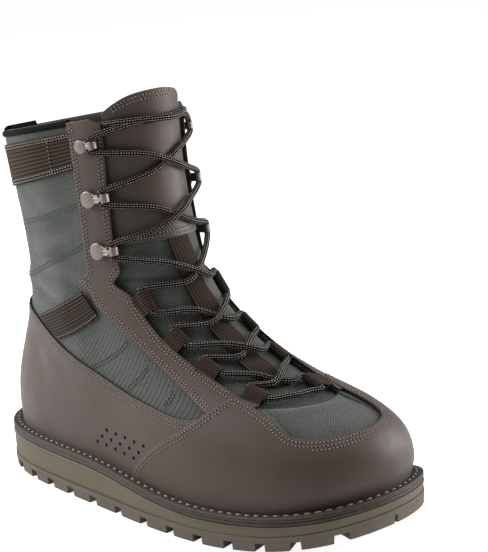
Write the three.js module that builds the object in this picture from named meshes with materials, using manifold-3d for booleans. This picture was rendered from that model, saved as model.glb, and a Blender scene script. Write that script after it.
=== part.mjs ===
// A lace-up wading boot for the right foot, standing empty on its lugged sole.
// Millimetres, +Y to the toe, +X to the outer side of the foot, +Z up.
// The origin is on the floor, under the middle of the heel.
import * as THREE from "three";
import { mergeVertices } from "three/addons/utils/BufferGeometryUtils.js";
import Module from "manifold-3d";

const wasm = await Module();
wasm.setup();

// Named sizes.
const outsoleLength = 318;
const ballWidth = 118;
const collarHeight = 234;
const heelEnd = -46;
const heelTop = 30.8;
const forefootTop = 21.6;
const toeSpring = 12.8;
const springStart = 170;
const soleSpread = 3;
const weltLedge = 6.2;
const weltThickness = 3.2;
const boardThickness = 2.6;
const outsoleHeight = 9;
const lugDepth = 5;
const wall = 2.4;
const gap = 0.3;
const leather = 1.6;
const webbing = 1.3;
const laceRadius = 2;
const hookReach = 15;

const OUTLINE = [
  { share: 0.0, outer: 0.0, inner: 0.0 },
  { share: 0.06, outer: 0.2585, inner: -0.2542 },
  { share: 0.14, outer: 0.3517, inner: -0.3517 },
  { share: 0.28, outer: 0.4153, inner: -0.3559 },
  { share: 0.42, outer: 0.4534, inner: -0.3347 },
  { share: 0.56, outer: 0.4915, inner: -0.3856 },
  { share: 0.68, outer: 0.4958, inner: -0.4686 },
  { share: 0.78, outer: 0.4661, inner: -0.5042 },
  { share: 0.88, outer: 0.3941, inner: -0.5127 },
  { share: 0.95, outer: 0.2627, inner: -0.4576 },
  { share: 1.0, outer: -0.1042, inner: -0.1042 },
];
const SECTIONS = [
  { level: 0, back: -0.1274, backHigh: 0.1316, front: 0.8349, frontHigh: 0.141, heel: 0.3136, waistOuter: 0.3856, waistInner: 0.2627,
    ballOuter: 0.4449, ballInner: 0.3898, heelRound: 4, toeRound: 4, follow: 1, sag: 1, swing: 0.1102 },
  { level: 1, back: -0.1336, backHigh: 0.188, front: 0.8459, frontHigh: 0.1966, heel: 0.3305, waistOuter: 0.3898, waistInner: 0.2881,
    ballOuter: 0.4534, ballInner: 0.4153, heelRound: 3.6, toeRound: 4, follow: 0.93, sag: 0.75, swing: 0.1102 },
  { level: 2, back: -0.1321, backHigh: 0.2564, front: 0.8318, frontHigh: 0.2607, heel: 0.3263, waistOuter: 0.3729, waistInner: 0.3008,
    ballOuter: 0.4407, ballInner: 0.4237, heelRound: 3.3, toeRound: 4, follow: 0.62, sag: 0.5, swing: 0.1102 },
  { level: 3, back: -0.1226, backHigh: 0.3205, front: 0.7767, frontHigh: 0.3162, heel: 0.3093, waistOuter: 0.3559, waistInner: 0.3093,
    ballOuter: 0.4153, ballInner: 0.3983, heelRound: 3.1, toeRound: 3.8, follow: 0.25, sag: 0.3, swing: 0.1017 },
  { level: 4, back: -0.1069, backHigh: 0.3846, front: 0.673, frontHigh: 0.3675, heel: 0.2924, waistOuter: 0.3475, waistInner: 0.3136,
    ballOuter: 0.3729, ballInner: 0.3559, heelRound: 3, toeRound: 3.4, follow: 0.05, sag: 0.15, swing: 0.0678 },
  { level: 5, back: -0.0912, backHigh: 0.4444, front: 0.5692, frontHigh: 0.4316, heel: 0.2797, waistOuter: 0.339, waistInner: 0.3136,
    ballOuter: 0.339, ballInner: 0.3263, heelRound: 2.9, toeRound: 3.2, follow: 0, sag: 0.05, swing: 0.0339 },
  { level: 6, back: -0.0786, backHigh: 0.5128, front: 0.4717, frontHigh: 0.5256, heel: 0.2797, waistOuter: 0.3305, waistInner: 0.3136,
    ballOuter: 0.322, ballInner: 0.3136, heelRound: 2.8, toeRound: 3, follow: 0, sag: 0, swing: 0.0169 },
  { level: 7, back: -0.0692, backHigh: 0.594, front: 0.4088, frontHigh: 0.641, heel: 0.2881, waistOuter: 0.3305, waistInner: 0.322,
    ballOuter: 0.3136, ballInner: 0.3093, heelRound: 2.7, toeRound: 3, follow: 0, sag: 0, swing: 0 },
  { level: 8, back: -0.0723, backHigh: 0.7009, front: 0.3679, frontHigh: 0.7778, heel: 0.3008, waistOuter: 0.339, waistInner: 0.3305,
    ballOuter: 0.3136, ballInner: 0.3136, heelRound: 2.6, toeRound: 3.2, follow: 0, sag: 0, swing: 0 },
  { level: 9, back: -0.0875, backHigh: 0.836, front: 0.3459, frontHigh: 0.9359, heel: 0.3136, waistOuter: 0.3475, waistInner: 0.3475,
    ballOuter: 0.3178, ballInner: 0.3178, heelRound: 2.6, toeRound: 3.4, follow: 0, sag: 0, swing: 0 },
  { level: 10, back: -0.1075, backHigh: 0.983, front: 0.3428, frontHigh: 1.094, heel: 0.322, waistOuter: 0.3559, waistInner: 0.3559,
    ballOuter: 0.322, ballInner: 0.322, heelRound: 2.6, toeRound: 3.4, follow: 0, sag: 0, swing: 0 },
  { level: 11, back: -0.1169, backHigh: 1.068, front: 0.3428, frontHigh: 1.1966, heel: 0.322, waistOuter: 0.3559, waistInner: 0.3559,
    ballOuter: 0.322, ballInner: 0.322, heelRound: 2.6, toeRound: 3.4, follow: 0, sag: 0, swing: 0 },
];

// Blocks of the tread's edge on the outer side: first and last turn, depth inwards, whether the inner side has one too.
const EDGE_BLOCKS = [
  { from: 0.008, to: 0.05, depth: 17, mirror: true },
  { from: 0.064, to: 0.096, depth: 17, mirror: true },
  { from: 0.108, to: 0.128, depth: 17, mirror: true },
  { from: 0.138, to: 0.155, depth: 17, mirror: true },
  { from: 0.164, to: 0.182, depth: 16, mirror: true },
  { from: 0.19, to: 0.208, depth: 14, mirror: true },
  { from: 0.216, to: 0.236, depth: 13, mirror: true },
  { from: 0.243, to: 0.262, depth: 14, mirror: true },
  { from: 0.269, to: 0.287, depth: 17, mirror: true },
  { from: 0.294, to: 0.311, depth: 18, mirror: true },
  { from: 0.319, to: 0.337, depth: 18, mirror: true },
  { from: 0.345, to: 0.364, depth: 18, mirror: true },
  { from: 0.373, to: 0.394, depth: 18, mirror: true },
  { from: 0.404, to: 0.432, depth: 19, mirror: true },
  { from: 0.446, to: 0.492, depth: 25, mirror: false },
  { from: 0.497, to: 0.556, depth: 25, mirror: false },
];

// Throat edges of the upper, as turns around the section, by level.
const THROAT = [
  { level: 3.7, outer: 0.404, inner: 0.542 },
  { level: 3.95, outer: 0.39, inner: 0.556 },
  { level: 4.3, outer: 0.383, inner: 0.566 },
  { level: 4.8, outer: 0.373, inner: 0.583 },
  { level: 5.5, outer: 0.358, inner: 0.612 },
  { level: 6.2, outer: 0.351, inner: 0.628 },
  { level: 7.0, outer: 0.345, inner: 0.636 },
  { level: 7.8, outer: 0.349, inner: 0.626 },
  { level: 8.7, outer: 0.361, inner: 0.612 },
  { level: 9.7, outer: 0.366, inner: 0.606 },
  { level: 10, outer: 0.363, inner: 0.606 },
];

// Rear edge of the eyestay on the outer side, by level.
const STAY = [
  { level: 3.3, turn: 0.338 },
  { level: 4.16, turn: 0.332 },
  { level: 4.91, turn: 0.324 },
  { level: 5.57, turn: 0.311 },
  { level: 6.1, turn: 0.292 },
  { level: 6.4, turn: 0.281 },
  { level: 7.0, turn: 0.283 },
  { level: 7.66, turn: 0.291 },
  { level: 8.51, turn: 0.3 },
  { level: 9.43, turn: 0.304 },
  { level: 10, turn: 0.302 },
];

// Top edge of the rear rand, from the heel to where the vamp laps it.
const RAND_TOP = [
  { turn: 0, level: 5.75 },
  { turn: 0.06, level: 5.68 },
  { turn: 0.105, level: 5.45 },
  { turn: 0.133, level: 5.21 },
  { turn: 0.18, level: 4.6 },
  { turn: 0.222, level: 3.94 },
  { turn: 0.254, level: 3.4 },
  { turn: 0.285, level: 3.13 },
  { turn: 0.309, level: 2.98 },
  { turn: 0.324, level: 3.07 },
  { turn: 0.336, level: 3.28 },
];

// Top edge of the vamp and toe leather, from the outer seam over the toe to the inner seam.
const VAMP_TOP = [
  { turn: 0.3395, level: 3.36 },
  { turn: 0.383, level: 3.98 },
  { turn: 0.393, level: 3.74 },
  { turn: 0.399, level: 3.3 },
  { turn: 0.403, level: 2.86 },
  { turn: 0.412, level: 2.64 },
  { turn: 0.44, level: 2.57 },
  { turn: 0.472, level: 2.63 },
  { turn: 0.5, level: 2.64 },
  { turn: 0.53, level: 2.74 },
  { turn: 0.542, level: 2.96 },
  { turn: 0.548, level: 3.4 },
  { turn: 0.554, level: 3.8 },
  { turn: 0.565, level: 3.98 },
  { turn: 0.59, level: 3.9 },
  { turn: 0.6605, level: 3.36 },
];

// Webbing lace loops: level, and as shares of the ball's width the tip's place across on the outer and on the inner
// side and the width.
const LOOPS = [
  { level: 4.17, outer: 0.161, inner: 0.133, width: 0.115, off: 0.4 },
  { level: 4.98, outer: 0.207, inner: 0.174, width: 0.127, off: 0.2 },
  { level: 5.7, outer: 0.222, inner: 0.178, width: 0.11, off: 0.5 },
  { level: 6.55, outer: 0.25, inner: 0.22, width: 0.127, off: 0.6 },
];

// Hooks of one side: level, how far behind the throat's edge, reach as a share of the longest.
const HOOKS = [
  { level: 7.64, behind: 0.026, reach: 1 },
  { level: 8.6, behind: 0.032, reach: 1 },
  { level: 9.49, behind: 0.036, reach: 0.74 },
];

// Depth of each lace crossing's middle off the last's surface, from the lowest up.
const LACE_DEPTHS = [-0.4, -0.4, -0.3, 0.5, 0.6, 1.4];

// Studs of the tread: place across and along, radius.
const STUDS = [
  { x: 2, y: 240, radius: 6 }, { x: -26, y: 238, radius: 6 }, { x: 20, y: 224, radius: 6 },
  { x: -8, y: 219, radius: 6 }, { x: -34, y: 214, radius: 6 }, { x: 30, y: 203, radius: 6 },
  { x: 8, y: 199, radius: 7 }, { x: -18, y: 193, radius: 6 },
  { x: 34, y: 178, radius: 6 }, { x: 14, y: 163, radius: 6 }, { x: -8, y: 172, radius: 6.5 },
  { x: -30, y: 156, radius: 6 }, { x: 10, y: 144, radius: 6 },
  { x: 26, y: 126, radius: 6 }, { x: 2, y: 116, radius: 6 },
  { x: -18, y: 108, radius: 6 }, { x: 22, y: 96, radius: 6 }, { x: -14, y: 46, radius: 6 },
  { x: 2, y: 44, radius: 6 }, { x: 18, y: 30, radius: 6 },
  { x: 0, y: 0, radius: 7 }, { x: 20, y: 6, radius: 6 }, { x: -20, y: 10, radius: 6 },
  { x: -3, y: 22, radius: 6 },
];

function clamp(value, low, high) {
  return Math.min(Math.max(value, low), high);
}

function smooth(from, to, value) {
  const s = clamp((value - from) / (to - from), 0, 1);
  return s * s * (3 - 2 * s);
}

// A smooth curve through the rows of a table: the column named by key, against the column named by along.
function read(table, along, key, value) {
  const last = table.length - 1;
  let i = 0;
  while (i < last - 1 && value >= table[i + 1][along]) i += 1;
  const rise = (k) => (table[k + 1][key] - table[k][key]) / (table[k + 1][along] - table[k][along]);
  const slope = (k) => (k === 0 ? rise(0) : k === last ? rise(last - 1) : (rise(k - 1) + rise(k)) / 2);
  const step = table[i + 1][along] - table[i][along];
  const s = (value - table[i][along]) / step;
  const s2 = s * s;
  const s3 = s2 * s;
  return (2 * s3 - 3 * s2 + 1) * table[i][key] + (s3 - 2 * s2 + s) * step * slope(i)
    + (3 * s2 - 2 * s3) * table[i + 1][key] + (s3 - s2) * step * slope(i + 1);
}

const ANGLES = OUTLINE.map((row) => ({ ...row, angle: Math.acos(1 - 2 * row.share) }));

function lift(y) {
  return toeSpring * clamp((y - springStart) / (heelEnd + outsoleLength - springStart), 0, 1.2) ** 2;
}

function rimTop(y) {
  return forefootTop + (heelTop - forefootTop) * (1 - smooth(60, 175, y)) + 0.9 * lift(y);
}

// A point of the sole's edge, before its spread. A turn of 0 is the back of the heel, a half is the toe, the outer side comes first.
function edgePoint(turn) {
  const angle = turn <= 0.5 ? 2 * Math.PI * turn : 2 * Math.PI * (1 - turn);
  const x = read(ANGLES, "angle", turn <= 0.5 ? "outer" : "inner", angle) * ballWidth;
  return new THREE.Vector2(x, heelEnd + outsoleLength * (1 - Math.cos(angle)) / 2);
}

// A closed loop moved inwards, or outwards where the distance is below zero.
function offsetLoop(loop, distance) {
  const count = loop.length;
  return loop.map((point, i) => {
    const along = loop[(i + 1) % count].clone().sub(loop[(i + count - 1) % count]).normalize();
    return new THREE.Vector2(point.x - along.y * distance, point.y + along.x * distance);
  });
}

function edgeLoop(inset, count) {
  const loop = Array.from({ length: count }, (_, i) => edgePoint(i / count));
  return offsetLoop(loop, inset - soleSpread);
}

// A point of the last's surface: turn around the section, level up the boot.
function lastPoint(turn, level) {
  const row = (key) => read(SECTIONS, "level", key, level);
  const around = ((turn % 1) + 1) % 1;
  const outer = around <= 0.5;
  const angle = clamp(outer ? 2 * Math.PI * around : 2 * Math.PI * (1 - around), 0, Math.PI);
  const t = (1 - Math.cos(angle)) / 2;
  const side = outer ? 1 : -1;
  const waist = row(outer ? "waistOuter" : "waistInner");
  const ball = row(outer ? "ballOuter" : "ballInner");
  const heel = row("heel");
  const half = heel + (waist - heel) * smooth(0.12, 0.42, t) + (ball - waist) * smooth(0.42, 0.72, t);
  const round = t < 0.5 ? row("heelRound") : row("toeRound");
  const cap = Math.sqrt(clamp(1 - Math.abs(1 - 2 * t) ** round, 0, 1));
  const free = (side * half * cap - row("swing") * smooth(0.55, 1, t)) * ballWidth;
  const foot = read(ANGLES, "angle", outer ? "outer" : "inner", angle) * ballWidth
    - side * weltLedge * Math.sqrt(clamp(Math.sin(angle), 0, 1));
  const x = free + (foot - free) * row("follow");
  const y = (row("back") + (row("front") - row("back")) * t) * outsoleLength;
  const base = SECTIONS[0].backHigh + (SECTIONS[0].frontHigh - SECTIONS[0].backHigh) * t;
  const high = (row("backHigh") + (row("frontHigh") - row("backHigh")) * t) * collarHeight;
  return new THREE.Vector3(x, y, high + row("sag") * (rimTop(y) - base * collarHeight));
}

function lastNormal(turn, level) {
  const low = Math.max(level - 0.02, 0);
  const high = Math.min(level + 0.02, 11);
  const across = lastPoint(turn + 0.002, level).sub(lastPoint(turn - 0.002, level));
  const up = lastPoint(turn, high).sub(lastPoint(turn, low));
  return across.cross(up).normalize();
}

// A point off the last's surface; a level below zero drops straight down into the welt.
function offLast(turn, level, distance) {
  if (level >= 0) return lastPoint(turn, level).addScaledVector(lastNormal(turn, level), distance);
  const normal = lastNormal(turn, 0).setZ(0).normalize();
  const point = lastPoint(turn, 0).addScaledVector(normal, distance);
  point.z += level * (weltThickness - gap);
  return point;
}

// The turn at which the level's front half reaches a given place across.
function turnAt(level, x) {
  let low = 0.2;
  let high = 0.8;
  for (let k = 0; k < 30; k += 1) {
    const middle = (low + high) / 2;
    if (lastPoint(middle, level).x > x) low = middle;
    else high = middle;
  }
  return (low + high) / 2;
}

function bodyFrom(points, faces) {
  const geometry = new THREE.BufferGeometry();
  geometry.setAttribute("position", new THREE.Float32BufferAttribute(points.flatMap((p) => [p.x, p.y, p.z]), 3));
  geometry.setIndex(faces.flat());
  return geometry;
}

// A closed solid between two faces of the same grid. keep says which cells of the grid are there.
function shell(columns, rows, outer, inner, { closed = false, keep = () => true } = {}) {
  const wide = closed ? columns : columns + 1;
  const points = [];
  for (const face of [outer, inner]) {
    for (let j = 0; j <= rows; j += 1) {
      for (let i = 0; i < wide; i += 1) points.push(face(i, j));
    }
  }
  const half = wide * (rows + 1);
  const at = (i, j) => j * wide + (i % wide);
  const front = [];
  for (let j = 0; j < rows; j += 1) {
    for (let i = 0; i < columns; i += 1) {
      if (keep(i, j)) {
        front.push([at(i, j), at(i + 1, j), at(i + 1, j + 1)]);
        front.push([at(i, j), at(i + 1, j + 1), at(i, j + 1)]);
      }
    }
  }
  const edges = new Set();
  for (const [a, b, c] of front) {
    for (const [from, to] of [[a, b], [b, c], [c, a]]) edges.add(`${from},${to}`);
  }
  const faces = front.concat(front.map(([a, b, c]) => [a + half, c + half, b + half]));
  for (const edge of edges) {
    const [from, to] = edge.split(",").map(Number);
    if (!edges.has(`${to},${from}`)) {
      faces.push([to, from, from + half]);
      faces.push([to, from + half, to + half]);
    }
  }
  const used = [...new Set(faces.flat())].sort((a, b) => a - b);
  const place = new Map(used.map((old, now) => [old, now]));
  return bodyFrom(used.map((old) => points[old]), faces.map((face) => face.map((k) => place.get(k))));
}

// A solid slab of loops one above the other, closed by a ladder of faces across it.
function slab(loops) {
  const count = loops[0].length;
  const faces = [];
  for (let k = 0; k < loops.length - 1; k += 1) {
    for (let i = 0; i < count; i += 1) {
      const next = (i + 1) % count;
      faces.push([k * count + i, k * count + next, (k + 1) * count + next]);
      faces.push([k * count + i, (k + 1) * count + next, (k + 1) * count + i]);
    }
  }
  const top = (loops.length - 1) * count;
  for (let i = 0; i < count / 2; i += 1) {
    const right = [i, i + 1];
    const left = [(count - i) % count, count - i - 1];
    const cells = [[right[0], right[1], left[1]], [right[0], left[1], left[0]]];
    for (const [a, b, c] of cells) {
      if (a !== b && b !== c && a !== c) {
        faces.push([top + a, top + b, top + c]);
        faces.push([a, c, b]);
      }
    }
  }
  return bodyFrom(loops.flat(), faces);
}

function loopAt(loop, height) {
  return loop.map((p) => new THREE.Vector3(p.x, p.y, height(p.y)));
}

// A band around the boot whose closed section is a list of loops.
function ring(loops) {
  const count = loops[0].length;
  const faces = [];
  for (let k = 0; k < loops.length; k += 1) {
    const up = (k + 1) % loops.length;
    for (let i = 0; i < count; i += 1) {
      const next = (i + 1) % count;
      faces.push([k * count + i, k * count + next, up * count + next]);
      faces.push([k * count + i, up * count + next, up * count + i]);
    }
  }
  return bodyFrom(loops.flat(), faces);
}

// A prism over a plan outline, narrower at the bottom, between two heights that follow the toe spring.
function lug(outline, low, high, draft) {
  const middle = outline.reduce((sum, p) => sum.add(p), new THREE.Vector2()).divideScalar(outline.length);
  const count = outline.length;
  const points = [];
  for (const [height, shrink] of [[low, draft], [high, 0]]) {
    for (const p of outline) {
      const reach = middle.distanceTo(p);
      const q = middle.clone().lerp(p, (reach - shrink) / reach);
      points.push(new THREE.Vector3(q.x, q.y, lift(q.y) + height));
    }
  }
  const faces = [];
  for (let i = 0; i < count; i += 1) {
    const next = (i + 1) % count;
    faces.push([i, next, count + next], [i, count + next, count + i]);
  }
  for (const [a, b, c] of THREE.ShapeUtils.triangulateShape(outline, [])) {
    faces.push([count + a, count + b, count + c], [a, c, b]);
  }
  return bodyFrom(points, faces);
}

function toSolid(geometry) {
  const plain = geometry.clone();
  plain.deleteAttribute("normal");
  plain.deleteAttribute("uv");
  const merged = mergeVertices(plain, 1e-4);
  return new wasm.Manifold(new wasm.Mesh({
    numProp: 3,
    vertProperties: new Float32Array(merged.attributes.position.array),
    triVerts: new Uint32Array(merged.index.array),
  }));
}

function fromSolid(solid) {
  const mesh = solid.getMesh();
  const geometry = new THREE.BufferGeometry();
  geometry.setAttribute("position", new THREE.Float32BufferAttribute(mesh.vertProperties, 3));
  geometry.setIndex([...mesh.triVerts]);
  return geometry;
}

function join(geometries) {
  return fromSolid(geometries.map(toSolid).reduce((sum, next) => sum.add(next)));
}

const boot = new THREE.Group();
boot.name = "wading_boot";

function add(name, geometry, look) {
  const material = new THREE.MeshStandardMaterial(look);
  const mesh = new THREE.Mesh(geometry, material);
  mesh.name = name;
  boot.add(mesh);
}

const LOOK = {
  leather: { color: 0x6a605a, roughness: 0.6, metalness: 0 },
  cloth: { color: 0x56605a, roughness: 0.9, metalness: 0 },
  webbing: { color: 0x54463a, roughness: 0.85, metalness: 0 },
  black: { color: 0x1c1b1a, roughness: 0.8, metalness: 0 },
  midsole: { color: 0x6f6656, roughness: 0.75, metalness: 0 },
  rubber: { color: 0x6b635a, roughness: 0.8, metalness: 0 },
  welt: { color: 0x3c352d, roughness: 0.7, metalness: 0 },
  lace: { color: 0x33312f, roughness: 0.8, metalness: 0 },
  metal: { color: 0xb0a59c, roughness: 0.4, metalness: 0.9 },
};

// Outsole: a plate with a block tread round its edge, studs inside, a split toe plate and a ribbed arch.
function outsole() {
  const count = 44;
  const wide = edgeLoop(0, count);
  const plate = slab([
    loopAt(edgeLoop(0.7, count), (y) => lift(y) + lugDepth),
    loopAt(wide, (y) => lift(y) + lugDepth + 0.8),
    loopAt(wide, (y) => lift(y) + outsoleHeight),
  ]);
  const fine = edgeLoop(0.35, 240);
  const span = (from, to, inset) => {
    const inner = offsetLoop(fine, inset);
    const pick = (loop, s) => loop[Math.round(((s % 1) + 1) * 240) % 240];
    const bent = from < 0.09 || to > 0.41;
    const steps = (bent ? [0, 0.5, 1] : [0, 1]).map((s) => from + (to - from) * s);
    return steps.map((s) => pick(fine, s)).concat([...steps].reverse().map((s) => pick(inner, s)));
  };
  const lugs = [];
  for (const block of EDGE_BLOCKS) {
    lugs.push(lug(span(block.from, block.to, block.depth), 0, lugDepth + 0.6, 0.5));
    if (block.mirror) lugs.push(lug(span(1 - block.to, 1 - block.from, block.depth), 0, lugDepth + 0.6, 0.5));
  }
  for (const stud of STUDS) {
    const outline = Array.from({ length: 7 }, (_, i) => {
      const angle = 2 * Math.PI * i / 7;
      return new THREE.Vector2(stud.x + stud.radius * Math.cos(angle), stud.y + stud.radius * Math.sin(angle));
    });
    lugs.push(lug(outline, 0, lugDepth + 0.6, 0.5));
  }
  return join([plate, ...lugs]);
}

function boardTop(y) {
  return rimTop(y) - weltThickness;
}

// Midsole: a wedge, thick under the heel and thin under the ball, with a step round its side.
function midsole() {
  const count = 48;
  const base = (y) => lift(y) + outsoleHeight + gap;
  const top = (y) => boardTop(y) - boardThickness - gap;
  const share = (s) => (y) => base(y) + (top(y) - base(y)) * s;
  return slab([
    loopAt(edgeLoop(1.1, count), base),
    loopAt(edgeLoop(0.3, count), share(0.18)),
    loopAt(edgeLoop(0.3, count), share(0.85)),
    loopAt(edgeLoop(1, count), top),
  ]);
}

function board() {
  const loop = edgeLoop(0.5, 48);
  return slab([loopAt(loop, (y) => boardTop(y) - boardThickness), loopAt(loop, boardTop)]);
}

// Welt: a strip round the foot of the upper, on the board.
function welt() {
  const count = 48;
  const foot = Array.from({ length: count }, (_, i) => offLast(i / count, 0, 0.9));
  const inner = foot.map((p) => new THREE.Vector2(p.x, p.y));
  const outer = edgeLoop(0, count);
  return ring([
    loopAt(inner, (y) => boardTop(y) + gap),
    loopAt(outer, (y) => boardTop(y) + gap),
    loopAt(outer, (y) => rimTop(y) - 0.5),
    loopAt(inner, rimTop),
  ]);
}

// Footbed: its outline follows the inside of the upper.
function insole() {
  const foot = Array.from({ length: 32 }, (_, i) => offLast(i / 32, 0, -wall - 1.4));
  const loop = foot.map((p) => new THREE.Vector2(p.x, p.y));
  return slab([
    loopAt(loop, (y) => boardTop(y) + 0.6),
    loopAt(loop, (y) => boardTop(y) + 4.6),
  ]);
}

// Upper: one wall from the welt to the collar, open at the throat, at the collar and underneath.
const UPPER_LEVELS = [-1, 0, 0.7, 1.4, 2.1, 2.6, 3.1, 3.7, 4.2, 4.8, 5.6, 6.4, 7.2, 8.1, 9, 10];
const UPPER_COLUMNS = 40;
const THROAT_COLUMNS = [17, 23];

function upperTurn(i, level) {
  const [first, last] = THROAT_COLUMNS;
  const open = smooth(1.8, 3.7, level);
  const high = Math.max(level, THROAT[0].level);
  const plainFirst = first / UPPER_COLUMNS;
  const plainLast = last / UPPER_COLUMNS;
  const from = plainFirst + (read(THROAT, "level", "outer", high) - plainFirst) * open;
  const to = plainLast + (read(THROAT, "level", "inner", high) - plainLast) * open;
  if (i <= first) return from * i / first;
  if (i <= last) return from + (to - from) * (i - first) / (last - first);
  return to + (1 - to) * (i - last) / (UPPER_COLUMNS - last);
}

function upperFace(distance) {
  return (i, j) => offLast(upperTurn(i, UPPER_LEVELS[j]), UPPER_LEVELS[j], distance);
}

const UPPER_GRID = {
  closed: true,
  keep: (i, j) => i < THROAT_COLUMNS[0] || i >= THROAT_COLUMNS[1] || UPPER_LEVELS[j] < THROAT[0].level,
};

function upper() {
  return shell(UPPER_COLUMNS, UPPER_LEVELS.length - 1, upperFace(0), upperFace(-wall), UPPER_GRID);
}

// A block standing through the upper, its sides over an outline: place gives the turn and the level of each corner
// of the outline's grid.
function block(columns, rows, place) {
  const face = (distance) => (i, j) => {
    const [turn, level] = place(i / columns, j / rows);
    return offLast(turn, level, distance);
  };
  return toSolid(shell(columns, rows, face(9), face(-4)));
}

// A sheet laid on the upper: the upper's own form, a little larger, cut to the outline of a block.
function sheet(outline, thick) {
  const coat = shell(UPPER_COLUMNS, UPPER_LEVELS.length - 1, upperFace(gap + thick), upperFace(gap), UPPER_GRID);
  return toSolid(coat).intersect(outline);
}

// Outline of the vamp: the leather over the toe and both sides of the ball, cut away round the cloth over the toes.
function vampOutline(spare) {
  const columns = VAMP_TOP.length - 1;
  return block(columns, 5, (s, r) => {
    const k = Math.round(s * columns);
    const wide = k === 0 ? -spare : k === columns ? spare : 0;
    const row = VAMP_TOP[k];
    const foot = 0.5 + (row.turn - 0.5) * 0.246 / 0.158;
    const level = (row.level + spare * 25 - 0.14) * r + 0.14 - spare * 60 * (1 - r);
    return [foot + (row.turn - foot) * r ** 1.9 + wide, level];
  });
}

function vamp() {
  return fromSolid(sheet(vampOutline(0), leather + 0.6));
}

// Rear rand: the leather round the heel and both sides, up to the seam of the vamp.
function rand() {
  const outline = block(18, 4, (s, r) => {
    const top = (2 * s - 1) * 0.3425;
    const foot = (2 * s - 1) * 0.2535;
    const high = read(RAND_TOP, "turn", "level", Math.min(Math.abs(top), 0.336));
    return [foot + (top - foot) * r ** 1.9, 0.14 + (high - 0.14) * r];
  });
  return fromSolid(sheet(outline, leather).subtract(vampOutline(0.0008)));
}

// Eyestay: the leather strip down each side of the throat.
function eyestay(inner) {
  const outline = block(2, 11, (s, r) => {
    const front = inner ? 1 - s : s;
    const low = 3.52 + 0.44 * front;
    const level = low + (10.2 - low) * r;
    const high = Math.max(level, THROAT[0].level);
    const wide = read(THROAT, "level", "outer", high) - read(STAY, "level", "turn", level);
    const throat = read(THROAT, "level", inner ? "inner" : "outer", high);
    const edge = throat + (inner ? -0.01 : 0.01);
    const back = inner ? throat + wide : throat - wide;
    return [back + (edge - back) * front, level];
  });
  return fromSolid(sheet(outline, leather).subtract(vampOutline(0.0008)));
}

// A strip round the back of the collar, on the upper's own columns, between the levels that rise gives.
function collarStrip(rise, from, thick) {
  const reach = 13;
  const face = (distance) => (i, j) => {
    const column = i - reach;
    const turn = Math.sign(column) * upperTurn(Math.abs(column), 9.4) * (Math.abs(column) === reach ? 1.05 : 1);
    return offLast(turn, rise(Math.abs(turn), j), distance);
  };
  return shell(2 * reach, 1, face(from + thick), face(from));
}

function collarWebbing() {
  return collarStrip((turn, j) => (j ? 9.68 + 0.27 * turn : 8.92 + 2.4 * turn ** 2), gap + 0.1, webbing);
}

function collarBinding() {
  return collarStrip((turn, j) => (j ? 10 : 9.84), gap, 1.1);
}

// Slanted ribbed webbing over each side of the ankle.
function ankleWebbing(inner) {
  const outline = block(4, 2, (s, r) => {
    const across = inner ? 1 - s : s;
    const low = [0.178 + (0.276 - 0.178) * across, 4.8 + (6.04 - 4.8) * across];
    const high = [0.133 + (0.262 - 0.133) * across, 5.46 + (6.68 - 5.46) * across];
    const turn = low[0] + (high[0] - low[0]) * r;
    return [inner ? 1 - turn : turn, low[1] + (high[1] - low[1]) * r];
  });
  return fromSolid(sheet(outline, webbing));
}

// A strip of even thickness along a path, its width lying along side.
function band(path, side, width, thickness, closed = false) {
  const count = path.length;
  const face = (reach) => (i, j) => {
    const before = closed ? path[(i + count - 1) % count] : path[Math.max(i - 1, 0)];
    const after = closed ? path[(i + 1) % count] : path[Math.min(i + 1, count - 1)];
    const normal = after.clone().sub(before).cross(side).normalize();
    return path[i % count].clone().addScaledVector(normal, reach).addScaledVector(side, (j - 0.5) * width);
  };
  return shell(closed ? count : count - 1, 1, face(thickness / 2), face(-thickness / 2), { closed });
}

// Pull loop: webbing up the outside of the heel line, over the collar and down inside.
const PULL_PATH = [
  { level: 8.35, off: 3.4, half: 0.012 },
  { level: 8.6, off: 3.4, half: 0.044 },
  { level: 9.05, off: 3.4, half: 0.044 },
  { level: 9.5, off: 3.4, half: 0.044 },
  { level: 9.95, off: 3.4, half: 0.044 },
  { level: 10.06, off: 2.4, half: 0.044 },
  { level: 10.11, off: -0.4, half: 0.044 },
  { level: 10.07, off: -3, half: 0.044 },
  { level: 9.95, off: -4.4, half: 0.044 },
  { level: 9.6, off: -4.6, half: 0.044 },
];

function pullLoop() {
  const middle = (i, j) => {
    const row = PULL_PATH[clamp(j, 0, PULL_PATH.length - 1)];
    return offLast((i / 2 - 1) * row.half, row.level, row.off);
  };
  const face = (reach) => (i, j) => {
    const across = middle(4, j).sub(middle(0, j));
    const up = middle(i, j + 1).sub(middle(i, j - 1));
    return middle(i, j).addScaledVector(across.cross(up).normalize(), reach);
  };
  return shell(4, PULL_PATH.length - 1, face(0.65), face(-0.65));
}

// Depth of the tongue's outer face under the last's surface: flat between the eyestays, fuller at the shin.
function tongueDepth(s, level) {
  const middle = 5 - 2.4 * smooth(7, 8.8, level);
  return 3.1 + (middle - 3.1) * smooth(0.16, 0.42, Math.min(s, 1 - s)) * smooth(3.3, 3.7, level);
}

function tonguePlace(s, r) {
  const top = 10 + 0.32 * (1 - Math.abs(2 * s - 1) ** 3);
  const level = 3.35 + (top - 3.35) * r;
  const seen = clamp(level, THROAT[0].level, 10);
  const tuck = 0.03 - 0.034 * smooth(8, 10, level);
  const from = read(THROAT, "level", "outer", seen) - tuck;
  const to = read(THROAT, "level", "inner", seen) + tuck;
  return [from + (to - from) * s, level];
}

function tongue() {
  const face = (extra) => (i, j) => {
    const [turn, level] = tonguePlace(i / 6, j / 11);
    return offLast(turn, level, -tongueDepth(i / 6, level) - extra);
  };
  return shell(6, 11, face(0), face(2.8));
}

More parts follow.
